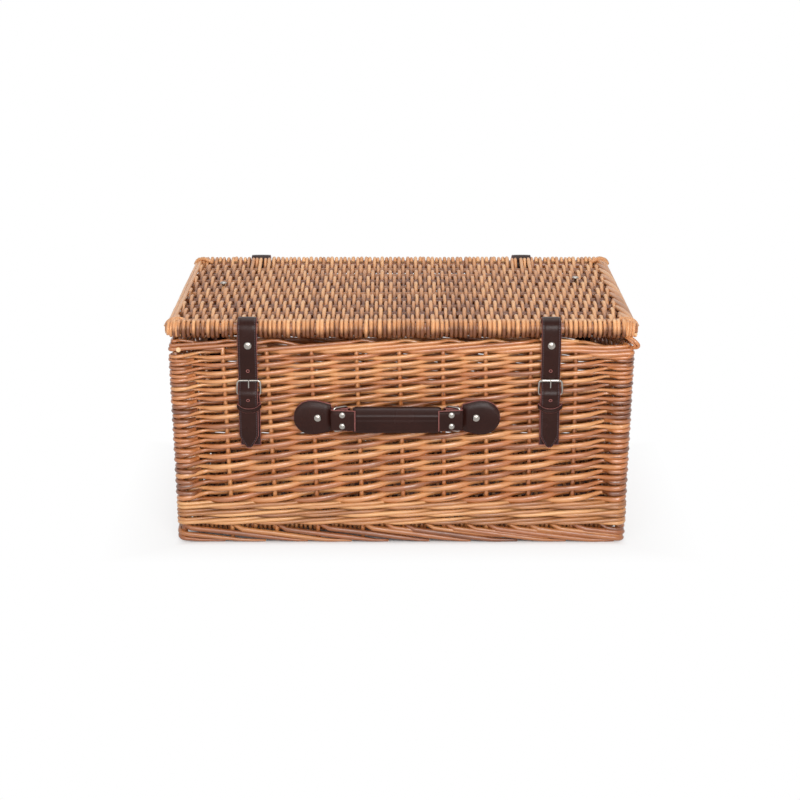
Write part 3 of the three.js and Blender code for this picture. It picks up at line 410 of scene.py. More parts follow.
class Rods(Skin):
    """Willow rods."""

    def __init__(self, sides=8):
        super().__init__()
        self.sides = sides

    def add(self, points, radius, up, tone=None, flat=1.0):
        points = np.asarray(points, float)
        count = len(points)
        along = directions(points)
        radius = np.pad(np.broadcast_to(radius, count).astype(float), 1, "edge")
        start = points[0] - along[0] * radius[0] * CUT_BEVEL
        end = points[-1] + along[-1] * radius[-1] * CUT_BEVEL
        points = np.vstack([start, points, end])
        radius[[0, -1]] *= CUT_SHARE
        rings = round_rings(points, radius, up, self.sides, np.pad(np.broadcast_to(flat, count), 1, "edge"))
        turn = turn_of(self.sides)
        thick = radius[:, None] * MM
        grain = np.zeros(rings.shape)
        grain[..., 0] = lengths_along(rings.mean(axis=1))[:, None] * MM + random.rand() * 50
        grain[..., 1] = np.cos(turn) * thick + random.rand() * 5
        grain[..., 2] = np.sin(turn) * thick
        cut = np.zeros(rings.shape[:2])
        cut[[0, -1]] = 1
        tone = random.uniform(0.15, 0.85) if tone is None else tone
        tone = np.pad(np.broadcast_to(tone, count), 1, "edge")[:, None] + np.zeros(cut.shape)
        self.tube(rings, tone=tone, cut=cut, grain=grain)


# ---- The body's wall, as places along its sides ----
CORNER_RADIUS = 12
LEAST_CORNER_RADIUS = 2
BORDER_CORNER_RADIUS = 6
CORNER_REACH = 4  # the middle of a corner, from the end of a side
STAKES_LONG = 9
STAKES_SHORT = 6
STAKE_END_LONG = 64
STAKE_END_SHORT = 57
STAKE_RADIUS = 2.5
STAKE_ROOM = 0.2  # between the stakes and what goes round them
POST_RADIUS = 4
SIDE_SWELL = 3  # of the rods at both ends, past the plain solids
HALF_X = BORDER.right + SIDE_SWELL
HALF_Y = BORDER.depth / 2
FOOT_HALF_X = FOOT.right + SIDE_SWELL
FOOT_HALF_Y = FOOT.depth / 2


def half_length(side):
    """Half the length at the border of side 0 to 3, which is front, right, back or left."""
    return HALF_Y if side % 2 else HALF_X


def climb(z):
    """The share of the way up from the foot to the border."""
    return (z - FOOT.top) / (BORDER.top - FOOT.top)


def half_sizes(z):
    """Half the body's width and depth outside, at a height."""
    share = climb(z)
    return FOOT_HALF_X + (HALF_X - FOOT_HALF_X) * share, FOOT_HALF_Y + (HALF_Y - FOOT_HALF_Y) * share


def front_y(z):
    return BORDER.y - half_sizes(z)[1]


def wall_points(side, along, depth, z, corner_radius=CORNER_RADIUS):
    """Points on a side. `along` runs from its middle, the way a weaver goes round, and `depth` is
    measured into the wall from its outer face."""
    half_x, half_y = half_sizes(z)
    reach, across = (half_y, half_x) if side % 2 else (half_x, half_y)
    corner = np.maximum(corner_radius - depth, LEAST_CORNER_RADIUS)
    straight = reach - depth - corner
    far = np.abs(along) * (reach / half_length(side))
    turn = np.clip((far - straight) / (reach - CORNER_REACH - straight), 0, 1) * math.pi / 4
    a = np.sign(along) * (np.minimum(far, straight) + corner * np.sin(turn))
    b = across - depth - corner + corner * np.cos(turn)
    x, y = [(a, -b), (b, a), (-a, b), (-b, -a)][side]
    return path(x, y + BORDER.y, z)


def stake_places(side):
    """Where the stakes of a side stand at the border, and where at the foot."""
    end, count = (STAKE_END_SHORT, STAKES_SHORT) if side % 2 else (STAKE_END_LONG, STAKES_LONG)
    half = half_length(side) - end
    top = np.linspace(-half, half, count) + random.uniform(-1.5, 1.5, count) - 2.5
    foot = top + random.uniform(3, 6, count)
    foot[0] = top[0] + 2
    return top, foot


STAKES = [stake_places(side) for side in range(4)]


def stations():
    """Every span from one upright to the next: its side, and where both uprights stand at the border
    and at the foot. A corner post is the end of one side and the start of the next."""
    spans = []
    for side, (top, foot) in enumerate(STAKES):
        end = half_length(side) - CORNER_REACH
        tops = [-end, *top, end]
        feet = [-end, *foot, end]
        spans += [(side, tops[i:i + 2], feet[i:i + 2]) for i in range(len(tops) - 1)]
    return spans


SPANS = stations()


def span_at(number):
    """A span by its number, which goes on counting after a full round."""
    return SPANS[number % len(SPANS)]


def ends_at_corner(span):
    side, top, _ = span_at(span)
    return top[1] > half_length(side) - 2 * CORNER_REACH


def samples(span, first=0.0, last=1.0):
    """Shares of a span, closer together where it turns a corner."""
    t = np.linspace(0, 1, 9)
    if ends_at_corner(span):
        t = np.concatenate([np.linspace(0, 0.7, 6), np.linspace(0.78, 1, 8)])
    if ends_at_corner(span - 1):
        t = np.concatenate([np.linspace(0, 0.22, 8), np.linspace(0.3, 1, 6)])
    return t[(t >= first) & (t <= last)]


def steps_over(spans):
    """Of each span (number, first share, last share), its number and its points' shares of it, and
    how many spans have gone by at each."""
    for gone, (span, first, last) in enumerate(spans):
        t = samples(span, first, last)[1 if gone else 0:]
        yield span, t, gone + t


def run_points(spans, depth_at, z_at, corner_radius=CORNER_RADIUS):
    """Points of a rod over spans. depth_at and z_at take how many spans have gone by."""
    points = []
    for span, t, gone in steps_over(spans):
        side, top, foot = span_at(span)
        z = z_at(gone)
        up = np.clip(climb(z), 0, 1)
        start, end = (low + (high - low) * up for low, high in zip(foot, top))
        points.append(wall_points(side, start + (end - start) * t, depth_at(gone), z, corner_radius))
    return np.concatenate(points)


def uneven(radius, amount, smooth=3):
    """Radii that vary a little along a rod."""
    return radius * (1 + wander(len(radius), amount, smooth))


# ---- Side weave: each rod goes in front of one stake and behind the next, climbing all the way ----
SIDE_LEVELS = 31
LOW_PITCH = 6.4
HIGH_PITCH = 4.15
CORNER_DIP = 5.5  # of the weave into the wall, on both sides of a corner post
CORNER_SHADE = 30  # from a corner, where the rods are thinner and their tone is lowered as painted shade


def level_height(level):
    """The height of a level of the side weave. Rods are thinner, and so closer, further up."""
    drop = (LOW_PITCH - HIGH_PITCH) / SIDE_LEVELS
    rise = LOW_PITCH * level - drop * level * level / 2
    whole = LOW_PITCH * SIDE_LEVELS - drop * SIDE_LEVELS * SIDE_LEVELS / 2
    return SIDE.bottom + LOW_PITCH * 0.35 + rise * (SIDE.height - LOW_PITCH * 0.3) / whole


def level_radius(level):
    share = np.clip(level / SIDE_LEVELS, 0, 1)
    return 0.47 * (LOW_PITCH + (HIGH_PITCH - LOW_PITCH) * share)


def height_radius(z):
    """The radius of the side weave's rods at a height."""
    return level_radius((z - SIDE.bottom) / SIDE.height * SIDE_LEVELS)


def stake_depth(z):
    return 2 * height_radius(z) + STAKE_RADIUS + STAKE_ROOM


def sharp_cosine(turns):
    """From 1 at each whole turn to -1 half a turn on, quicker than a cosine between the two."""
    wave = np.cos(2 * math.pi * turns)
    return np.sign(wave) * np.abs(wave) ** 0.7


def beside_corner(start, gone):
    """1 half way between a corner post and the stake next to it, and 0 at both and elsewhere."""
    number = np.floor(gone).astype(int)
    ends = np.array([ends_at_corner(start + n) for n in range(-1, SIDE_LEVELS + 5)])
    near = ends[1:] | ends[:-1]
    return smoothstep(1 - np.abs(gone - number - 0.5) / 0.32) * near[number]


def build_side_weave():
    rods = Rods()
    levels = np.arange(SIDE_LEVELS + 4)
    for start in range(len(SPANS)):
        thickness = random.uniform(0.93, 1.06)
        lift = wander(len(levels), 0.45)
        push = wander(len(levels), 0.4)

        def z_at(gone):
            return level_height(gone - 1) + np.interp(gone, levels, lift)

        def depth_at(gone):
            radius = level_radius(gone - 1)
            swing = (STAKE_RADIUS + radius) * sharp_cosine(gone / 2)
            behind_border = 4 * smoothstep((gone - SIDE_LEVELS) / 1.2)
            drift = np.interp(gone, levels, push) + behind_border
            dip = CORNER_DIP * beside_corner(start, gone)
            return 2 * radius + STAKE_RADIUS + STAKE_ROOM + swing + drift + dip

        spans = [(start + n, 0, 1) for n in range(SIDE_LEVELS + 2)]
        points = run_points(spans, depth_at, z_at)
        gone = np.concatenate([part for _, _, part in steps_over(spans)])
        x, y, z = points.T
        half_x, half_y = half_sizes(z)
        from_corner = np.maximum(half_x - np.abs(x), half_y - np.abs(y - BORDER.y))
        at_post = smoothstep(1 - from_corner / CORNER_SHADE)
        narrow = (1 - 0.3 * beside_corner(start, gone)) * (1 - 0.1 * at_post)
        # Painted shade: the tone is lowered near a corner post, where the weave dips into the wall.
        tone = random.uniform(0.15, 0.85) - 0.18 * at_post
        tall = 1.2 + 0.36 * smoothstep((y - BORDER.y) / HALF_Y * 4 - 2.6)
        rods.add(points, uneven(height_radius(z) * thickness * narrow, 0.05), Z, tone, tall)
    rods.build("side_weave_willow", WILLOW, "willow", "basket", "side_weave")


def build_corner_wraps():
    """Short turns of willow that fill each corner post between the rods that pass outside it."""
    rods = Rods()
    shares = np.concatenate([np.linspace(1, 0.35, 9), np.linspace(0.28, 0, 7)])
    for span in [i for i in range(len(SPANS)) if ends_at_corner(i)]:
        for level in range(1, SIDE_LEVELS, 2):
            z = level_height(level) + random.uniform(-0.4, 0.4)
            radius = level_radius(level) * random.uniform(0.92, 1.0)
            reach = random.uniform(21, 25)
            slope = random.uniform(-0.5, 0.8)
            points = []
            for number, sign, share in ((span, 1, shares), (span + 1, -1, shares[-2::-1])):
                side = span_at(number)[0]
                along = sign * (half_length(side) - CORNER_REACH - share * reach)
                depth = radius + (stake_depth(z) + radius - 0.5) * smoothstep((share - 0.6) / 0.4)
                points.append(wall_points(side, along, depth, z - sign * slope * share))
            # Their tone is kept low: painted shade in the corner's recess.
            rods.add(np.concatenate(points), radius, Z, random.uniform(0.0, 0.6))
    rods.build("corner_wraps", WILLOW, "willow", "basket")


def build_stakes():
    rods = Rods(sides=10)
    z = np.linspace(4, BORDER.top - 8, 24)
    share = np.clip(climb(z), 0, 1)
    radius = STAKE_RADIUS * (1.06 - 0.12 * share)
    for side, (top, foot) in enumerate(STAKES):
        for high, low in zip(top, foot):
            along = low + (high - low) * share + wander(len(z), 0.7, 3)
            points = wall_points(side, along, stake_depth(z), z)
            rods.add(points, radius, (1, 0.3, 0), random.uniform(0.2, 0.7))
    rods.build("stakes", WILLOW, "willow", "basket", "stakes_and_border")


def build_posts():
    share = np.linspace(0, 1, 12)
    for corner in ("front_left", "front_right", "back_left", "back_right"):
        node = f"corner_post_{corner}"
        box = Box(node)
        lean = (box.width - 2 * POST_RADIUS) * (share - 0.5) + SIDE_SWELL
        drift = (box.depth - 2 * POST_RADIUS) * (share - 0.5)
        x = box.x + (lean if box.right > 0 else -lean)
        y = box.y + (drift if box.back > BORDER.y else -drift)
        rods = Rods(sides=12)
        rods.add(path(x, y, box.bottom + box.height * share), POST_RADIUS * 0.9, X, 0.3)
        rods.build(f"post_{corner}", WILLOW_DARK, "willow_dark", "basket", node)


# ---- Wale: three rounds of paired rods, in front of two stakes and behind one ----
WALE_ROUNDS = 3
WALE_LOW = 20.5
WALE_TOP = WALE.top - 0.6


def build_wale():
    rods = Rods()
    pitch = (WALE_TOP - WALE_LOW) / (2 * WALE_ROUNDS)
    radius = pitch / 2 * 1.03
    middle = stake_depth(WALE.top)
    marks = np.arange(5)
    for level in range(WALE_ROUNDS):
        foot = WALE_LOW + 2 * level * pitch
        for start in range(len(SPANS)):
            lift = wander(len(marks), 0.6)

            def z_at(gone):
                rise = 0.5 + smoothstep((gone - 0.75) / 1.5)
                return foot + pitch * rise + np.interp(gone, marks, lift)

            def depth_at(gone):
                front = smoothstep(gone / 0.95) * smoothstep((3 - gone) / 0.95)
                return middle + (middle - radius) * (0.6 - 1.6 * front)

            points = run_points([(start + n, 0, 1) for n in range(3)], depth_at, z_at)
            thick = np.full(len(points), radius * random.uniform(0.88, 1.08))
            rods.add(points, uneven(thick, 0.06), Z)
    rods.build("wale_willow", WILLOW_PALE, "willow_pale", "basket", "bottom_wale")


# ---- Foot border: the stakes' ends, bent over to the right and run down to the ground ----
FOOT_ROD_TOP = 17.6
FOOT_DROP = 6.4  # of a rod, from one stake to the next
FOOT_SPACINGS = 2.85
FOOT_SINGLES = 6  # places about the left front corner with one rod each, where the others have two


def build_foot_border():
    rods = Rods(sides=10)
    for half in range(2 * len(SPANS)):
        start, late = divmod(half, 2)
        if late and (start + 2) % len(SPANS) < FOOT_SINGLES:
            continue
        thick = random.uniform(2.85, 3.25) * (0.86 if late else 1)
        reach = FOOT_SPACINGS + random.uniform(-0.15, 0.1) - late * 0.35
        top = FOOT_ROD_TOP + random.uniform(-0.8, 0.8)

        def taper(gone):
            return 1 - 0.5 * smoothstep((gone - 1.7) / (reach - 1.7))

        def z_at(gone):
            out = gone - late * 0.5
            sloping = top + 4 * (1 - smoothstep(out / 0.22)) - FOOT_DROP * out
            return np.maximum(sloping, thick * taper(gone) + 0.5)

        def depth_at(gone):
            start_inside = 6 * (1 - smoothstep((gone - late * 0.5) / 0.25))
            end_inside = 1.5 * smoothstep((gone - 2) / 0.8)
            return thick * 0.95 + 0.2 + start_inside + end_inside + late * 1.2

        spans = [(start, late * 0.4, 1), (start + 1, 0, 1), (start + 2, 0, reach - 2)]
        points = run_points(spans, depth_at, z_at)
        gone = np.linspace(late * 0.4, reach, len(points))
        rods.add(points, uneven(thick * taper(gone), 0.04), Z)
    rods.build("foot_border_willow", WILLOW_DARK, "willow_dark", "basket", "foot_border")


# ---- Top border: each stake's end goes in front of the next three and back inside ----
BORDER_DIP = 4.5  # of the border at the right end of the front
BORDER_REACH = 3.1
BORDER_INSIDE = 12  # of a rod's start and end, from the wall's outer face


def border_dip(points):
    """The border's right front corner has sagged, and leaves a gap under the lid."""
    share = smoothstep((points[:, 0] - 170) / 60) * smoothstep((-points[:, 1] - 120) / 40)
    points[:, 2] -= BORDER_DIP * share
    return points


def build_top_border():
    rods = Rods(sides=10)
    low = SIDE.top + 0.6
    high = BORDER.top - 1.5
    for start in range(len(SPANS)):
        thick = random.uniform(2.35, 2.75)
        if start == 0:
            continue  # this one is cut off, in add_border_extras

        def z_at(gone):
            rise = np.clip(gone / BORDER_REACH, 0, 1)
            return low + (high - low) * rise - 7 * smoothstep((gone - BORDER_REACH) / 0.8)

        def depth_at(gone):
            shown = smoothstep(gone / 0.45) - smoothstep((gone - 2.8) / 0.45)
            outer = thick + np.clip(gone, 0, 3)
            return BORDER_INSIDE + (outer - BORDER_INSIDE) * shown

        spans = [(start + n, 0, 1) for n in range(4)]
        points = border_dip(run_points(spans, depth_at, z_at, BORDER_CORNER_RADIUS))
        gone = np.linspace(0, 4, len(points))
        radius = uneven(thick * (1 - 0.24 * smoothstep((gone - 1.2) / 2)), 0.04)
        rods.add(points, radius, Z, random.uniform(0.3, 0.75))
    add_border_extras(rods)
    rods.build("top_border_willow", WILLOW, "willow", "basket")


def add_border_extras(rods):
    """The first rod is cut off where it leaves the left corner post, a thin one loops out of the right
    corner, and a pale sliver lies on the border's front."""
    z = SIDE.top + 4.5
    x = 13 - HALF_X
    rods.add([(x, front_y(z) + 14, z), (x, front_y(z) + 1.2, z)], 2.9, Z, 0.8)
    corner = np.array([HALF_X, front_y(BORDER.top), BORDER.top])
    loop = corner + [
        (-12, 9, 5), (-7, 3, 3.5), (-2, -1, 0.5), (2.5, -1, -4.5), (0.5, 3, -8), (-7, 9, -9)]
    for shift in (0, 3.4):
        rods.add(soften(loop + (-shift, shift, -shift * 0.2), 1.5, 5), 1.9, (0, 1, 0.3), 0.55)
    z = BORDER.top + 1.2
    x = np.arange(150, 194, 6)
    rods.add(path(x, front_y(z) + 5, z - (x - 150) * 0.05), 1.5, Z, 1.0)


# ---- Lid and base: strands from front to back, over and under sticks that run along ----
class Panel:
    """Strands over and under sticks, which turn round the panel's front and back rods."""

    def __init__(self, first_y, last_y, middle_z, stick_count, stick_radius, rod_radius):
        self.first_y = first_y
        self.last_y = last_y
        self.middle_z = middle_z
        self.stick_radius = stick_radius
        self.rod_radius = rod_radius
        self.sticks = np.linspace(first_y, last_y, stick_count + 2)[1:-1]
        self.marks = np.linspace(LID.left, LID.right, 24)
        self.bends = [wander(len(self.marks), 3.2, 3) for _ in self.sticks]

    def stick_places(self, x):
        """Where each stick is at a place along the panel: none is quite straight."""
        return [y + np.interp(x, self.marks, bend) for y, bend in zip(self.sticks, self.bends)]

    def add_sticks(self, rods, first_x, last_x):
        x = np.linspace(first_x, last_x, 40)
        for y in self.stick_places(x):
            rods.add(path(x, y, self.middle_z), self.stick_radius, Z, random.uniform(-0.1, 0.25))

    def strand(self, x_at, over_first, radius, front=True, back=True):
        """A strand's points. Where it doesn't turn round a rod, it ends on top of the panel."""
        swing = self.stick_radius + radius
        wrap = self.rod_radius + radius
        signs = [1 if (i % 2 == 0) == over_first else -1 for i in range(len(self.sticks))]
        y_ends = (self.first_y + (0 if front else 9), self.last_y - (0 if back else 11))
        z_ends = (-wrap * signs[0] if front else swing, -wrap * signs[-1] if back else 9.5)
        y_marks = [y_ends[0], *self.stick_places(x_at(0.0)), y_ends[1]]
        z_marks = [z_ends[0], *[swing * sign for sign in signs], z_ends[1]]
        turn = np.radians(np.linspace(232, 0, 14))
        ys = []
        zs = []
        if front:
            ys.extend(y_ends[0] - wrap * np.sin(turn))
            zs.extend(-wrap * np.cos(turn) * signs[0])
        t = np.linspace(0, 1, 7)[1:]
        for i in range(len(y_marks) - 1):
            ys.extend(y_marks[i] + (y_marks[i + 1] - y_marks[i]) * t)
            zs.extend(z_marks[i] + (z_marks[i + 1] - z_marks[i]) * (1 - np.cos(math.pi * t)) / 2)
        if back:
            turn = turn[-2::-1]
            ys.extend(y_ends[1] + wrap * np.sin(turn))
            zs.extend(-wrap * np.cos(turn) * signs[-1])
        ys = np.array(ys)
        return path(x_at(ys), ys, self.middle_z + np.array(zs))

    def weave(self, rods, left, right, pitch, radius, turns_at=lambda x: (True, True)):
        """Strands from left to right. turns_at says whether a strand turns round the front rod and
        round the back one."""
        count = int(round((right - left) / pitch))
        marks = np.linspace(self.first_y - 12, self.last_y + 12, 14)
        for j in range(count):
            x = left + (j + 0.5) * (right - left) / count
            thick = radius * random.uniform(0.86, 1.08)
            drift = wander(len(marks), 1.3)

            def x_at(y):
                return x + np.interp(y, marks, drift)

            points = self.strand(x_at, j % 2 == 0, thick, *turns_at(x))
            # Painted light in the strand's tone: a painted highlight where it rises over a stick, painted
            # shade where it dips under one, and painted shade on its front where it turns round the front
            # rod.
            rise = (points[:, 2] - self.middle_z) / (self.stick_radius + thick)
            edge = smoothstep((self.first_y - self.rod_radius * 0.4 - points[:, 1]) / 4)
            tone = random.uniform(0.08, 0.63) + 0.42 * np.clip(rise, -1, 1) - 0.22 * edge
            rods.add(points, uneven(np.full(len(points), thick), 0.06, 4), X, tone)


LID_STICKS = 9
LID_STICK_RADIUS = 3
LID_ROD_RADIUS = 6
LID_STRAND_RADIUS = 2.25
STRAND_PITCH = 5.15
LID_BORDER = 14
LID_SPACING = (BACK_ROD.y - FRONT_ROD.y) / (LID_STICKS + 1)
LID_Z = FRONT_ROD.z


def clear_of_bands(x):
    """A strand doesn't turn round a rod where a leather band does: straps in front, hinges behind."""
    for band in ("strap_loop", "hinge_band"):
        boxes = [Box(f"{band}_{side}") for side in SIDES]
        yield not any(box.left - 1.5 < x < box.right + 1.5 for box in boxes)


def build_lid():
    panel = Panel(FRONT_ROD.y, BACK_ROD.y, LID_Z, LID_STICKS, LID_STICK_RADIUS, LID_ROD_RADIUS)
    rods = Rods()
    panel.weave(rods, LID.left - 7.5, LID.right + 2, STRAND_PITCH, LID_STRAND_RADIUS, clear_of_bands)
    rods.build("lid_strands", LID_WILLOW, "willow", "lid", "lid_weave")
    rods = Rods(sides=10)
    panel.add_sticks(rods, LID_FRAME.left + 6, LID_FRAME.right - 6)
    add_left_border(rods)
    add_right_border(rods)
    rods.build("lid_sticks", LID_WILLOW, "willow_pale", "lid", "lid_stick_frame")
    x = np.linspace(FRONT_ROD.left, FRONT_ROD.right, 40)
    ends = {"front": (FRONT_ROD.y, 1), "back": (BACK_ROD.y, -1)}
    for end, (y, _) in ends.items():
        rods = Rods(sides=14)
        rods.add(path(x, y, LID_Z), LID_ROD_RADIUS * 0.97, Z, 0.6)
        rods.build(f"{end}_rod", WILLOW_DARK, "willow_dark", "lid", f"lid_{end}_rod")
    for side in SIDES:
        for end, (y, inward) in ends.items():
            build_lid_tie(side, end, y, inward)


def add_left_border(rods):
    """Smooth rods side by side along the lid's left end, above and below its sticks."""
    y = np.linspace(FRONT_ROD.y + 4, BACK_ROD.y - 4, 30)
    for lane, crown in ((2.3, 3.45), (6.6, 5.6)):
        for top in (1, -1):
            x = LID_FRAME.left + lane + wander(len(y), 0.5, 3)
            z = LID_Z + top * crown + wander(len(y), 0.4, 3)
            rods.add(path(x, y, z), 2.3, Z, random.uniform(0.5, 0.9))


def add_right_border(rods):
    """A flat plait along the lid's right end: each rod comes in at a stick and works outwards."""
    t = np.linspace(0, 1, 26)
    x = LID_FRAME.right - LID_BORDER + 1.5 + (LID_BORDER - 3.6) * smoothstep(t)
    rise = 3.4 + 3.6 * np.sin(math.pi * np.clip(t * 1.1, 0, 1)) - 2 * smoothstep(t * 2 - 1)
    for j in range(-2, 11):
        y = BACK_ROD.y - (j - 0.6 + 2.9 * t) * LID_SPACING
        keep = (y > FRONT_ROD.y - 2) & (y < BACK_ROD.y + 2)
        if keep.sum() > 5:
            rods.add(path(x, y, LID_Z + rise)[keep], 2.9, Z, random.uniform(0.3, 0.8))
            rods.add(path(x, y, LID_Z - rise)[keep], 2.7, Z)


def build_lid_tie(side, end, rod_y, inward):
    """Turns of willow that bind the end of the lid's rod to its border, and two more across them."""
    node = f"lid_tie_{end}_{side}"
    box = Box(node)
    rods = Rods()
    angle = np.linspace(0, 8 * math.pi, 64) - 0.7
    x = np.linspace(box.left + 0.3, box.right + 0.5, len(angle))
    reach = LID_ROD_RADIUS + 1.8 + wander(len(angle), 0.5, 4)
    rods.add(path(x, rod_y - inward * reach * np.cos(angle), LID_Z + reach * np.sin(angle)), 1.75, X, 0.55)
    thick = 2.9 if (side, end) == ("right", "back") else 2.1
    across = np.array([(-13, 1.0, 5.0), (-8, 1.6, 8.4), (-1, -0.2, 9.6), (6, -1.6, 7.5), (9, -2.2, 1.5)])
    out, back, rise = across.T
    for slant, length in ((0, 1), (1, 0.7)):
        x = box.x + box.sign * out * length
        y = rod_y + inward * (8 + back * 2.4 - slant * 5.5)
        rods.add(soften(path(x, y, LID_Z + rise - slant * 0.6), 2, 6), thick, (0, 1, 0.2), 0.65)
    rods.build(f"tie_{end}_{side}", LID_WILLOW, "willow_pale", "lid", node)


BASE_STICKS = 8
BASE_STICK_RADIUS = 3.2
BASE_EDGE_RADIUS = 4.3
BASE_STRAND_RADIUS = 2.1
BASE_PITCH = 5


def build_base():
    front = Box("base_stick_front")
    edges = (front.y - 5, Box("base_stick_back").y)
    panel = Panel(*edges, front.z, BASE_STICKS, BASE_STICK_RADIUS, BASE_EDGE_RADIUS)
    rods = Rods()
    panel.weave(rods, BASE.left - 1, BASE.right + 1, BASE_PITCH, BASE_STRAND_RADIUS)
    rods.build("base_strands", WILLOW_PALE, "willow", "basket", "base_weave")
    rods = Rods(sides=10)
    ends = (BASE.left - 3, BASE.right + 3)
    panel.add_sticks(rods, *ends)
    for y in edges:
        rods.add(path(np.linspace(*ends, 30), y, front.z), BASE_EDGE_RADIUS, Z)
    rods.build("base_sticks", WILLOW_DARK, "willow_dark", "basket", "base_stick_front", "base_stick_back")


# ---- Leather ----
LEATHER_THICKNESS = 2.4
FOLD_RADIUS = 2.75  # of the leather's middle, where it goes round a wire
# Half of a strip's outline, from its back over its edge to the middle of its front. Two more points,
# half way to the middle and in the middle, follow the insets.
EDGE_INSETS = [0.6, 0.1, 0.0, 0.4, 0.5, 1.5, 2.0, 2.5]
EDGE_HEIGHTS = [-1.0, -0.75, 0.1, 0.82, 0.88, 1.0, 0.8, 1.0, 1.0, 1.0]  # in half thicknesses
EDGE_RAW = [0, 1, 1, 1, 0, 0, 0, 0, 0, 0]
EDGE_ROOM = 4  # a strip with less on each side of its middle has its insets drawn in
BOTH_HALVES = [*range(10), *range(8, -1, -1)]


class Hide(Skin):
    """Leather."""

    def strip(self, line, across, width, thickness=LEATHER_THICKNESS, crown=0.2, sewn=1):
        """A strip along a line. Its front looks along the cross product of the line and `across`."""
        count = len(line)
        across = unit(np.broadcast_to(across, line.shape).astype(float))
        front = unit(np.cross(directions(line), across))
        half = np.broadcast_to(width / 2, count)
        room = np.minimum(1, half / EDGE_ROOM)
        inset = np.vstack([np.outer(EDGE_INSETS, room), half / 2, half])
        place = half - inset
        height = np.array(EDGE_HEIGHTS)[:, None]
        rise = height * thickness / 2 + (height > 0) * crown * (1 - (place / half) ** 2)
        place = np.vstack([place, -place[-2::-1]])
        rings = line[:, None] + across[:, None] * place.T[..., None]
        rings += front[:, None] * rise[BOTH_HALVES].T[..., None]
        raw = np.tile(np.array(EDGE_RAW, float)[BOTH_HALVES], (count, 1))
        raw[[0, -1]] = 1
        along = np.broadcast_to(lengths_along(line)[:, None], raw.shape)
        strip = np.stack([along, inset[BOTH_HALVES].T, np.full(raw.shape, sewn)], axis=-1)
        self.tube(rings, raw=raw, strip=strip)

    def build(self, name, body, *nodes, flat_ends=False):
        return super().build(name, LEATHER, "leather", body, *nodes, flat_ends=flat_ends)


def build_band(name, body, node, *strip, **shape):
    """A piece that is one strip of leather."""
    hide = Hide()
    hide.strip(*strip, **shape)
    return hide.build(name, body, *node.split())


def on_front(x, places):
    """Points of (distance out from the front wall, height), at one place along it."""
    return [(x, front_y(z) - out, z) for out, z in places]


def turned(x, y, z, radius, angles):
    """Points round a bar that runs along x. The angle is 0 towards the back and 90 on top."""
    return [(x, y + radius * math.cos(a), z + radius * math.sin(a)) for a in np.radians(angles)]


HEEL_OUT = 4.6  # of the buckle's bars from the wall
BUCKLE_WIRE = 1.25  # its radius
STRAP_LOOP_RADIUS = 11.5
STRAP_SHARE = 0.96  # the strap's width, in that of its plain solid
STRAP_TIP = 14  # the length of its pointed end
KEEPER_WIDTH = 5.2
KEEPER_THICKNESS = 1.4


def buckle_bars(side):
    """The heights of the buckle's heel bar and top bar."""
    box = Box(f"buckle_frame_{side}")
    return box.bottom + BUCKLE_WIRE, box.top - BUCKLE_WIRE


def build_strap(side):
    """The closing strap: round the lid's front rod, down through the buckle, pointed at its end."""
    tail = Box(f"strap_tail_{side}")
    loop = Box(f"strap_loop_{side}")
    heel, top_bar = buckle_bars(side)
    x = tail.x - (0.8 if side == "left" else 0)
    leaf_y = FRONT_ROD.y - STRAP_LOOP_RADIUS
    points = [(x, leaf_y + 2.5, loop.bottom + 1), (x, leaf_y + 2.5, LID_Z - 8)]
    points += turned(x, FRONT_ROD.y, LID_Z, STRAP_LOOP_RADIUS, np.linspace(-128, 180, 24))
    points.append((x, leaf_y, loop.bottom))
    points += on_front(x, [
        (1.5, top_bar + 6),
        (1.5, top_bar - 1.2),
        (10.0, heel + 2.8),
        (10.2, heel - 1.6),
        (6.8, heel - 9),
        (5.9, heel - 12),
        (5.9, tail.bottom),
    ])
    line = soften(points, 1.6, 5)
    left = lengths_along(line[::-1])[::-1]
    width = tail.width * STRAP_SHARE * np.clip(0.16 + 0.84 * (left / STRAP_TIP) ** 0.72, 0, 1)
    nodes = f"strap_loop_{side} strap_tail_{side}"
    strap = build_band(f"closing_strap_{side}", None, nodes, line, X, width)
    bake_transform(strap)
    build_holes(side, line, heel)


HOLES = {"left": (26, -4.2), "right": (26.8, -4.6)}  # above the heel bar
HOLE_PROFILE = [(2.0, -0.3), (1.9, 0.12), (1.45, 0.2), (1.1, -0.1), (0.9, -0.12), (0.05, -0.12)]


def build_holes(side, line, heel):
    """The strap's spare holes: a sunk dark middle in a raw rim, on the front of the strap."""
    hide = Hide()
    turn = turn_of(16)[:, None]
    along = directions(line)
    in_front = np.arange(len(line)) > len(line) // 3
    for rise in HOLES[side]:
        spot = np.argmax(in_front / (1 + np.abs(line[:, 2] - heel - rise)))
        front = np.cross(along[spot], X)
        middle = line[spot] + front * (LEATHER_THICKNESS / 2 + 0.2)
        ring = X * np.cos(turn) - along[spot] * np.sin(turn)
        rings = np.array([middle + ring * radius + front * height for radius, height in HOLE_PROFILE])
        raw = np.zeros(rings.shape[:2])
        raw[1:3] = 1
        hide.tube(rings, raw=raw, strip=np.zeros(rings.shape))
    hide.build(f"strap_holes_{side}", f"strap_{side}_tail")


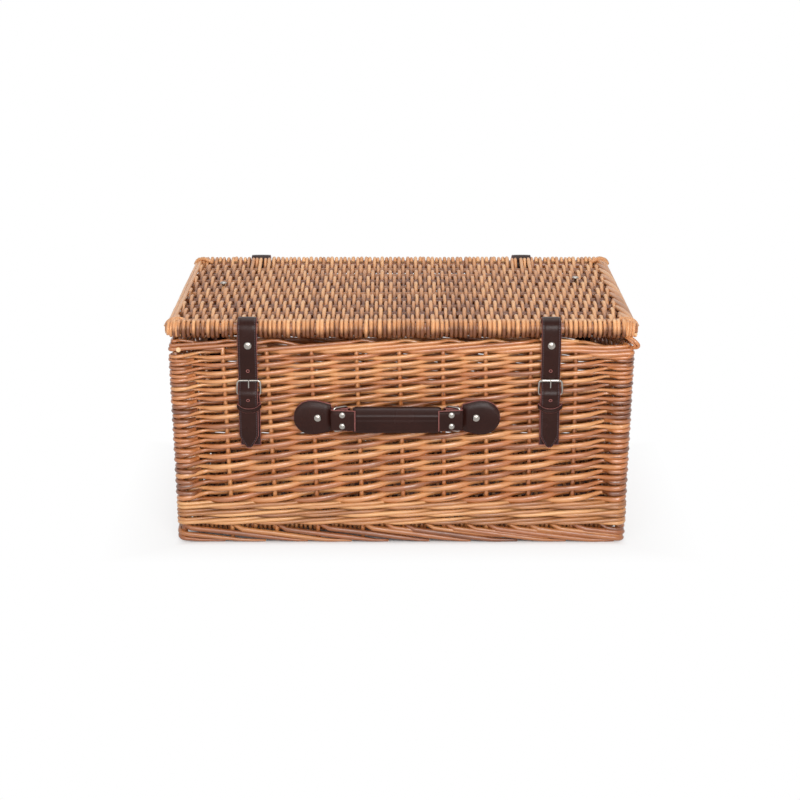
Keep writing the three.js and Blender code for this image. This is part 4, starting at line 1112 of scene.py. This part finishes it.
def build_buckle(side):
    """The leather that holds the buckle, the keeper on it, the wire frame and its prong."""
    box = Box(f"buckle_strap_{side}")
    heel, top_bar = buckle_bars(side)
    x = box.x + (0.9 if side == "left" else 0)
    bar_y = front_y(heel) - HEEL_OUT
    points = on_front(x, [(1.5, box.bottom), (1.5, heel - 6)])
    points += turned(x, bar_y, heel, FOLD_RADIUS, np.linspace(0, 180, 9))
    points += on_front(x, [(4.1, heel - 6), (3.95, heel - 9)])
    line = soften(points, 1.1, 2.5)
    width = box.width * np.where(np.abs(line[:, 2] - heel) < 3, 0.97, 1.0)
    build_band(f"buckle_leather_{side}", "basket", f"buckle_strap_{side}", line, -X, width, crown=0.1)
    build_keeper(side)
    build_buckle_frame(side, heel, top_bar, bar_y)


def build_keeper(side):
    """A band of leather round both straps. Its front sags between the strap's edges."""
    box = Box(f"keeper_{side}")
    half_x = (box.width - KEEPER_THICKNESS) / 2
    half_y = (box.depth - KEEPER_THICKNESS) / 2
    outline = [(0, 1), (-1, 1), (-1, -1), (1, -1), (1, 1), (0, 1)]
    line = soften([(box.x + half_x * a, box.y + half_y * b, box.z) for a, b in outline], 1, 3)
    line[:, 2] += 5.6 * (np.abs(line[:, 0] - box.x) / half_x) ** 2.6 - 2.4
    shape = {"width": KEEPER_WIDTH, "thickness": KEEPER_THICKNESS, "crown": 0.1, "sewn": 0}
    build_band(f"keeper_band_{side}", "basket", f"keeper_{side}", line, Z, **shape)


# ---- Handle ----
RING_NEAR_OUT = 4.3  # of a ring's two bars from the wall
RING_FAR_OUT = 12.3
RING_BAR_IN = 4  # of a bar, from the end of the leather round it
END_FOLD_RADIUS = 2.9
GRIP_HALF_THICKNESS = 4.1
GRIP_RIDGE = 0.9


def build_grip():
    """The padded grip: a flat leather bar with two soft ridges along its front."""
    box = Box("handle_grip")
    half_z = box.height / 2
    turn = turn_of(96)
    z = half_z * np.sign(np.sin(turn)) * np.abs(np.sin(turn)) ** 0.75
    out = GRIP_HALF_THICKNESS * np.sign(np.cos(turn)) * np.abs(np.cos(turn)) ** 0.45
    down = 0.5 - z / half_z / 2
    ridges = np.exp(-((down - 0.36) / 0.04) ** 2) + 0.8 * np.exp(-((down - 0.56) / 0.04) ** 2)
    out = np.where(out > 0, out + ridges * GRIP_RIDGE, out)
    x = np.linspace(box.left + 1, box.right - 1, 60)[:, None]
    ease = 1 - 0.1 * (1 - smoothstep(np.minimum(x - box.left, box.right - x) / 5))
    rings = path(x, front_y(box.z + z) - RING_FAR_OUT - out * ease, box.z + z * ease)
    strip = np.zeros(rings.shape)
    strip[..., 0] = x
    hide = Hide()
    hide.tube(rings, raw=np.zeros(rings.shape[:2]), strip=strip)
    hide.build("grip", "handle", "handle_grip", flat_ends=True)


def round_upright_bar(x, out, radius, angles, z):
    """Points round a bar that stands up beside the front wall. The angle is 0 away from the
    handle's middle, which is on the left of a bar where the radius is below 0, and 90 in front."""
    return [
        (x + radius * math.cos(a), front_y(z) - out - abs(radius) * math.sin(a), z)
        for a in np.radians(angles)
    ]


def build_handle_end(side):
    """Leather folded round the ring, riveted to the grip."""
    node = f"handle_end_{side}"
    box = Box(node)
    sign = box.sign
    bar_x = box.far - sign * RING_BAR_IN
    middle_y = front_y(box.z) - RING_FAR_OUT
    points = [
        (box.near - sign * 2.5, middle_y - 5.7, box.z),
        (box.near + sign * 4, middle_y - 4.6, box.z),
        (bar_x - sign * 8, middle_y - 3.0, box.z),
    ]
    points += round_upright_bar(bar_x, RING_FAR_OUT, sign * END_FOLD_RADIUS, np.linspace(90, -90, 9), box.z)
    points.append((box.near + sign * 6, middle_y + END_FOLD_RADIUS, box.z))
    line = soften(points, 1.2, 3)
    shape = {"crown": 0.15, "sewn": 0}
    end = build_band(f"handle_end_leather_{side}", None, node, line, sign * Z, box.height, **shape)
    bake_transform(end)


CHAPE_ROUND = 19.5  # the radius of its far end
CHAPE_PLACES = [-6, 4, 7, 11, 17.5, 22, 26.5, 31, 35, 39.1]  # from the ring's bar
CHAPE_HALF_HEIGHTS = [11.5, 11.5, 11.7, 13.6, 15.3, 16.6, 17.8, 18.9, 19.4, 19.5]


def build_chape(side):
    """The pear-shaped leather that holds a ring of the handle: folded at its neck, padded beyond."""
    box = Box(f"handle_chape_{side}")
    sign = box.sign
    bar_x = box.near + sign * RING_BAR_IN
    reach = abs(box.far - bar_x)
    wall_y = front_y(box.z)
    points = [(bar_x + sign * 16, wall_y - 1.6, box.z)]
    points += round_upright_bar(bar_x, RING_NEAR_OUT, -sign * FOLD_RADIUS, np.linspace(-90, 90, 9), box.z)
    for distance, out in ((6, 6.9), (12, 4.6), (18, 3.0), (30, 2.7), (reach, 2.6)):
        points.append((bar_x + sign * distance, wall_y - out, box.z))
    line = soften(points, 1, 3)
    gone = (line[:, 0] - bar_x) * sign
    in_round = gone - (reach - CHAPE_ROUND)
    half = np.sqrt(np.maximum(CHAPE_ROUND ** 2 - in_round ** 2, 1.2 ** 2))
    half = np.where(in_round > 0, half, np.interp(gone, CHAPE_PLACES, CHAPE_HALF_HEIGHTS))
    on_top = (line[:, 1] < wall_y - RING_NEAR_OUT) | (gone > 17)
    half = np.where(on_top, half, 11)
    pad = smoothstep((gone - 14) / 10) * on_top
    shape = {"thickness": LEATHER_THICKNESS + pad * 1.8, "crown": 0.15 + pad * 1.7, "sewn": 0}
    name = f"chape_leather_{side}"
    build_band(name, "basket", f"handle_chape_{side}", line, sign * Z, 2 * half, **shape)


# ---- Hinge bands and stays ----
STAY_SHAPE = {"width": 12, "thickness": 2, "crown": 0.1, "sewn": 0}
KNEE = [(-2.4, 8), (-1.7, 2), (0, 0), (1.7, 2), (2.4, 8)]  # back and up from the bend's bottom


def build_hinge_band(side):
    """A band round the lid's back rod, with its ends under the border."""
    box = Box(f"hinge_band_{side}")
    radius = box.depth / 2 - LEATHER_THICKNESS / 2
    low = box.bottom + LEATHER_THICKNESS / 2
    y = BACK_ROD.y
    points = [(box.x, y, low), (box.x, y + radius, low)]
    points += turned(box.x, y, LID_Z, radius, np.linspace(0, 180, 15))
    points += [(box.x, y - radius, low), (box.x, y, low)]
    line = soften(points, 1.6, 4)
    build_band(f"hinge_leather_{side}", "basket", f"hinge_band_{side}", line, X, box.width * 0.98)


def pivot_of(joint):
    """Where a joint is. The frame's joints give it in metres."""
    return next(np.array(j["pos_m"]) / MM for j in frame["joints"] if j["name"] == joint)


def build_stay(side):
    """A lid stay: a narrow strap from the lid to the side wall, folded at its knee when shut."""
    upper = Box(f"stay_upper_{side}")
    lower = Box(f"stay_lower_{side}")
    rivet = Box(f"stay_lid_rivet_{side}")
    wall = Box(f"stay_wall_rivet_{side}")
    _, knee_y, knee_z = pivot_of(f"stay_fold_{side}")
    knee_x = upper.far - upper.sign * 6
    wall_x = lower.far - lower.sign
    tab_z = upper.top - 3.2
    bend_y = rivet.y + 6
    bottom = knee_z + 1.5
    line = soften([
        (rivet.x, rivet.y - 6, tab_z),
        (rivet.x, bend_y - 1, tab_z),
        (rivet.x, bend_y + 0.6, tab_z - 4),
        (knee_x, knee_y - 2.4, bottom + 8),
    ], 2.5, 4)
    top = build_band(f"stay_top_{side}", None, f"stay_upper_{side}", line, X, **STAY_SHAPE)
    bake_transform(top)
    points = [(knee_x, knee_y + y, bottom + z) for y, z in KNEE]
    points += [(wall_x, wall.y, wall.z), (wall_x, wall.y + 1.2, wall.z + 6)]
    line = soften(points, 2.5, 3.5)
    share = np.clip((line[:, 2] - bottom) / (wall.z - bottom), 0, 1) * (line[:, 1] > knee_y)
    turn = smoothstep((share - 0.35) / 0.5)[:, None] * math.pi / 2
    flat_on_wall = np.cross(X, unit(np.array([0, 1.2, 6])))
    across = np.cos(turn) * X + np.sin(turn) * flat_on_wall
    low = build_band(f"stay_bottom_{side}", None, f"stay_lower_{side}", line, across, **STAY_SHAPE)
    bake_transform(low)


# ---- Nickel ----
RING_WIRE = 1.3
PRONG_WIRE = 0.95


class Metal(Skin):
    """Nickel wire and rivets."""

    def wire(self, points, radius, up, closed=True, sides=10):
        rings = round_rings(np.asarray(points, float), radius, up, sides, closed=closed)
        self.tube(rings, closed=closed)

    def build(self, name, body, node, flat_ends=True):
        super().build(name, NICKEL, "nickel", body, node, flat_ends=flat_ends)


def rounded_loop(middle, along, upward, corner):
    """A closed loop of wire with its corners rounded. `along` and `upward` are half its sizes."""
    length, height = np.linalg.norm(along), np.linalg.norm(upward)
    points = []
    for sx, sz, start in ((1, 1, 0), (-1, 1, 90), (-1, -1, 180), (1, -1, 270)):
        for angle in np.radians(np.linspace(start, start + 90, 6)):
            a = sx * (length - corner) + corner * math.cos(angle)
            b = sz * (height - corner) + corner * math.sin(angle)
            points.append(middle + along / length * a + upward / height * b)
    return resample(points + points[:1], 1.2)[:-1]


def build_buckle_frame(side, heel, top_bar, bar_y):
    """The wire frame, with a sleeve on the right one's top bar, and the prong on its heel bar."""
    box = Box(f"buckle_frame_{side}")
    metal = Metal()
    middle = np.array([box.x, bar_y, (heel + top_bar) / 2])
    loop = rounded_loop(middle, X * (box.width / 2 - BUCKLE_WIRE), Z * (top_bar - heel) / 2, 3.2)
    metal.wire(loop, BUCKLE_WIRE, Y)
    if side == "right":
        sleeve = path(box.x + np.linspace(-10.5, 10.5, 9), bar_y - 0.3, top_bar)
        metal.wire(sleeve, 2.0, Z, closed=False, sides=14)
    metal.build(f"buckle_wire_{side}", f"buckle_{side}", f"buckle_frame_{side}")
    box = Box(f"buckle_prong_{side}")
    metal = Metal()
    metal.wire(turned(box.x, bar_y, heel, 2.2, range(0, 360, 24)), PRONG_WIRE, X)
    needle = soften([
        (box.x, bar_y - 2.3, heel),
        (box.x, bar_y - 2.5, heel + 5),
        (box.x, bar_y - 2.5, top_bar - 3),
        (box.x, bar_y - 2.35, box.top - 0.5),
    ], 1.2, 3)
    metal.wire(needle, np.linspace(1.0, 0.8, len(needle)), X, closed=False)
    metal.build(f"prong_wire_{side}", f"prong_{side}", f"buckle_prong_{side}", flat_ends=False)


def build_ring(side):
    """The wire ring between a chape and the end of the handle."""
    box = Box(f"handle_ring_{side}")
    start = np.array([box.near + box.sign * RING_WIRE, front_y(box.z) - RING_NEAR_OUT, box.z])
    end = np.array([box.far - box.sign * 1.2, front_y(box.z) - RING_FAR_OUT, box.z])
    loop = rounded_loop((start + end) / 2, (end - start) / 2, Z * (box.height / 2 - RING_WIRE), 2.6)
    metal = Metal()
    metal.wire(loop, RING_WIRE, np.cross(end - start, Z) * box.sign)
    metal.build(f"ring_wire_{side}", f"ring_{side}", f"handle_ring_{side}")


RIVET_SHANK = 1.5


def build_rivet(node, body, axis, dome, head=None, proud=0.0):
    """A rivet: a domed head at the end its axis points to, a shank and a washer at the other end. The
    head stands `proud` of the plain solid."""
    box = Box(node)
    size = np.array([box.width, box.depth, box.height])
    length = abs(size @ axis)
    radius = head or min(size[axis == 0]) / 2
    washer = min(1, length * 0.12)
    start = np.array([box.x, box.y, box.z]) - axis * length / 2
    top = length + proud
    profile = [
        (0.1, 0),
        (radius * 0.95, 0),
        (radius, washer * 0.5),
        (radius * 0.95, washer),
        (RIVET_SHANK, washer),
        (RIVET_SHANK, top - dome),
        (radius, top - dome),
        (radius, top - dome * 0.82),
    ]
    for angle in np.radians(np.linspace(8, 88, 9)):
        profile.append((radius * 0.97 * math.cos(angle), top - dome * 0.82 * (1 - math.sin(angle))))
    across = X if axis[2] else Z
    turn = turn_of(24)[:, None]
    ring = across * np.cos(turn) + np.cross(axis, across) * np.sin(turn)
    metal = Metal()
    metal.tube(np.array([start + axis * rise + ring * r for r, rise in profile]))
    metal.build(f"{node}_dome", body, node, flat_ends=False)


def build_rivets():
    for side, sign in SIDES.items():
        build_rivet(f"strap_rivet_{side}", f"strap_{side}", -Y, 2.6, head=4.5, proud=0.7)
        build_rivet(f"buckle_rivet_{side}", "basket", -Y, 0.8)
        build_rivet(f"chape_rivet_{side}", "basket", -Y, 2.6, head=4.4, proud=0.8)
        for row in ("upper", "lower"):
            build_rivet(f"handle_rivet_{side}_{row}", f"handle_end_{side}", -Y, 2.4, head=3.7, proud=1.0)
        build_rivet(f"hinge_rivet_{side}", "basket", Y, 1.2)
        build_rivet(f"stay_lid_rivet_{side}", "lid", Z, 2.2)
        build_rivet(f"stay_wall_rivet_{side}", "basket", -sign * X, 1.2)


build_side_weave()
build_corner_wraps()
build_stakes()
build_posts()
build_wale()
build_foot_border()
build_top_border()
build_lid()
build_base()
for side in SIDES:
    build_strap(side)
    build_buckle(side)
    build_handle_end(side)
    build_chape(side)
    build_ring(side)
    build_hinge_band(side)
    build_stay(side)
build_grip()
build_rivets()


# ---- Floor, light and camera ----
WORLD_LIGHT = 0.38
FLOOR_COLOUR = (0.95, 0.95, 0.95)
NEAR_WHITE = 0.78  # how white the floor looks just outside the foot
LIGHT_TARGET = (0, 0, 0.12)  # in metres, as the lamps are
LAMPS = {  # place, size and power
    "key": ((0.45, -2.2, 1.15), 1.0, 31),
    "fill": ((-0.9, -2.1, 1.2), 1.2, 11),
    "top": ((0.1, 0.5, 2.0), 1.4, 10),
    "low": ((0.1, -2.3, 0.35), 1.2, 7),
}
LENS = 90.3
TILT = 15.6  # degrees that the camera looks down


def seen_share(tree):
    """1 for the rays that show the background itself: straight, mirrored or through glass."""
    rays = add_node(tree, "ShaderNodeLightPath", output=None)
    seen = maths(tree, "MAXIMUM", rays["Is Camera Ray"], rays["Is Glossy Ray"])
    return maths(tree, "MAXIMUM", seen, rays["Is Transmission Ray"])


def build_floor():
    """A white floor that keeps the hamper's shadow close to it."""
    bpy.ops.mesh.primitive_plane_add(size=8)
    floor = bpy.context.object
    floor.name = "floor"
    material, tree, shader = new_material("white_floor")
    set_inputs(tree, shader, {"Base Color": FLOOR_COLOUR, "Roughness": 0.9, "Specular IOR Level": 0.0})
    glow = add_node(tree, "ShaderNodeEmission", {"Strength": 1.0})
    in_foot_sizes = (1 / (FOOT.right * MM), 1 / ((FOOT.back - BORDER.y) * MM), 0)
    place = stretched(tree, object_place(tree), in_foot_sizes)
    place = add_node(tree, "ShaderNodeVectorMath", {0: place}, operation="ABSOLUTE")
    across, back, _ = add_node(tree, "ShaderNodeSeparateXYZ", {0: place}, None)
    beyond = maths(tree, "MAXIMUM", across, back)
    near = remapped(tree, beyond, 0.93, 1.02, 0.0, NEAR_WHITE)
    white = maths(tree, "ADD", near, remapped(tree, beyond, 1.02, 1.35, 0.0, 1 - NEAR_WHITE))
    share = maths(tree, "MULTIPLY", seen_share(tree), white)
    mixed = add_node(tree, "ShaderNodeMixShader", {0: share, 1: shader.outputs[0], 2: glow})
    set_inputs(tree, tree.nodes["Material Output"], {"Surface": mixed})
    floor.data.materials.append(material)


def build_world():
    world = bpy.data.worlds.new("studio")
    bpy.context.scene.world = world
    world.use_nodes = True
    tree = world.node_tree
    strength = remapped(tree, seen_share(tree), 0.0, 1.0, WORLD_LIGHT, 1.0)
    set_inputs(tree, tree.nodes["Background"], {"Color": (1, 1, 1), "Strength": strength})


def add_lamp(name, place, size, power):
    lamp = bpy.data.lights.new(name, "AREA")
    lamp.size = size
    lamp.energy = power
    piece = bpy.data.objects.new(name, lamp)
    piece.location = place
    towards = Vector(LIGHT_TARGET) - Vector(place)
    piece.rotation_euler = towards.to_track_quat("-Z", "Y").to_euler()
    bpy.context.scene.collection.objects.link(piece)


def build_camera():
    """A long lens in front of the hamper, a little above the lid and looking down on it."""
    camera = bpy.data.cameras.new("camera")
    camera.sensor_width = 36
    camera.lens = LENS
    piece = bpy.data.objects.new("camera", camera)
    piece.location = metres(-1.6, LID.front - 2105, 756)
    piece.rotation_euler = (math.radians(90 - TILT), 0, 0)
    bpy.context.scene.collection.objects.link(piece)
    bpy.context.scene.camera = piece


build_floor()
build_world()
for name, (place, size, power) in LAMPS.items():
    add_lamp(name, place, size, power)
build_camera()
bpy.context.scene.view_settings.view_transform = "Standard"
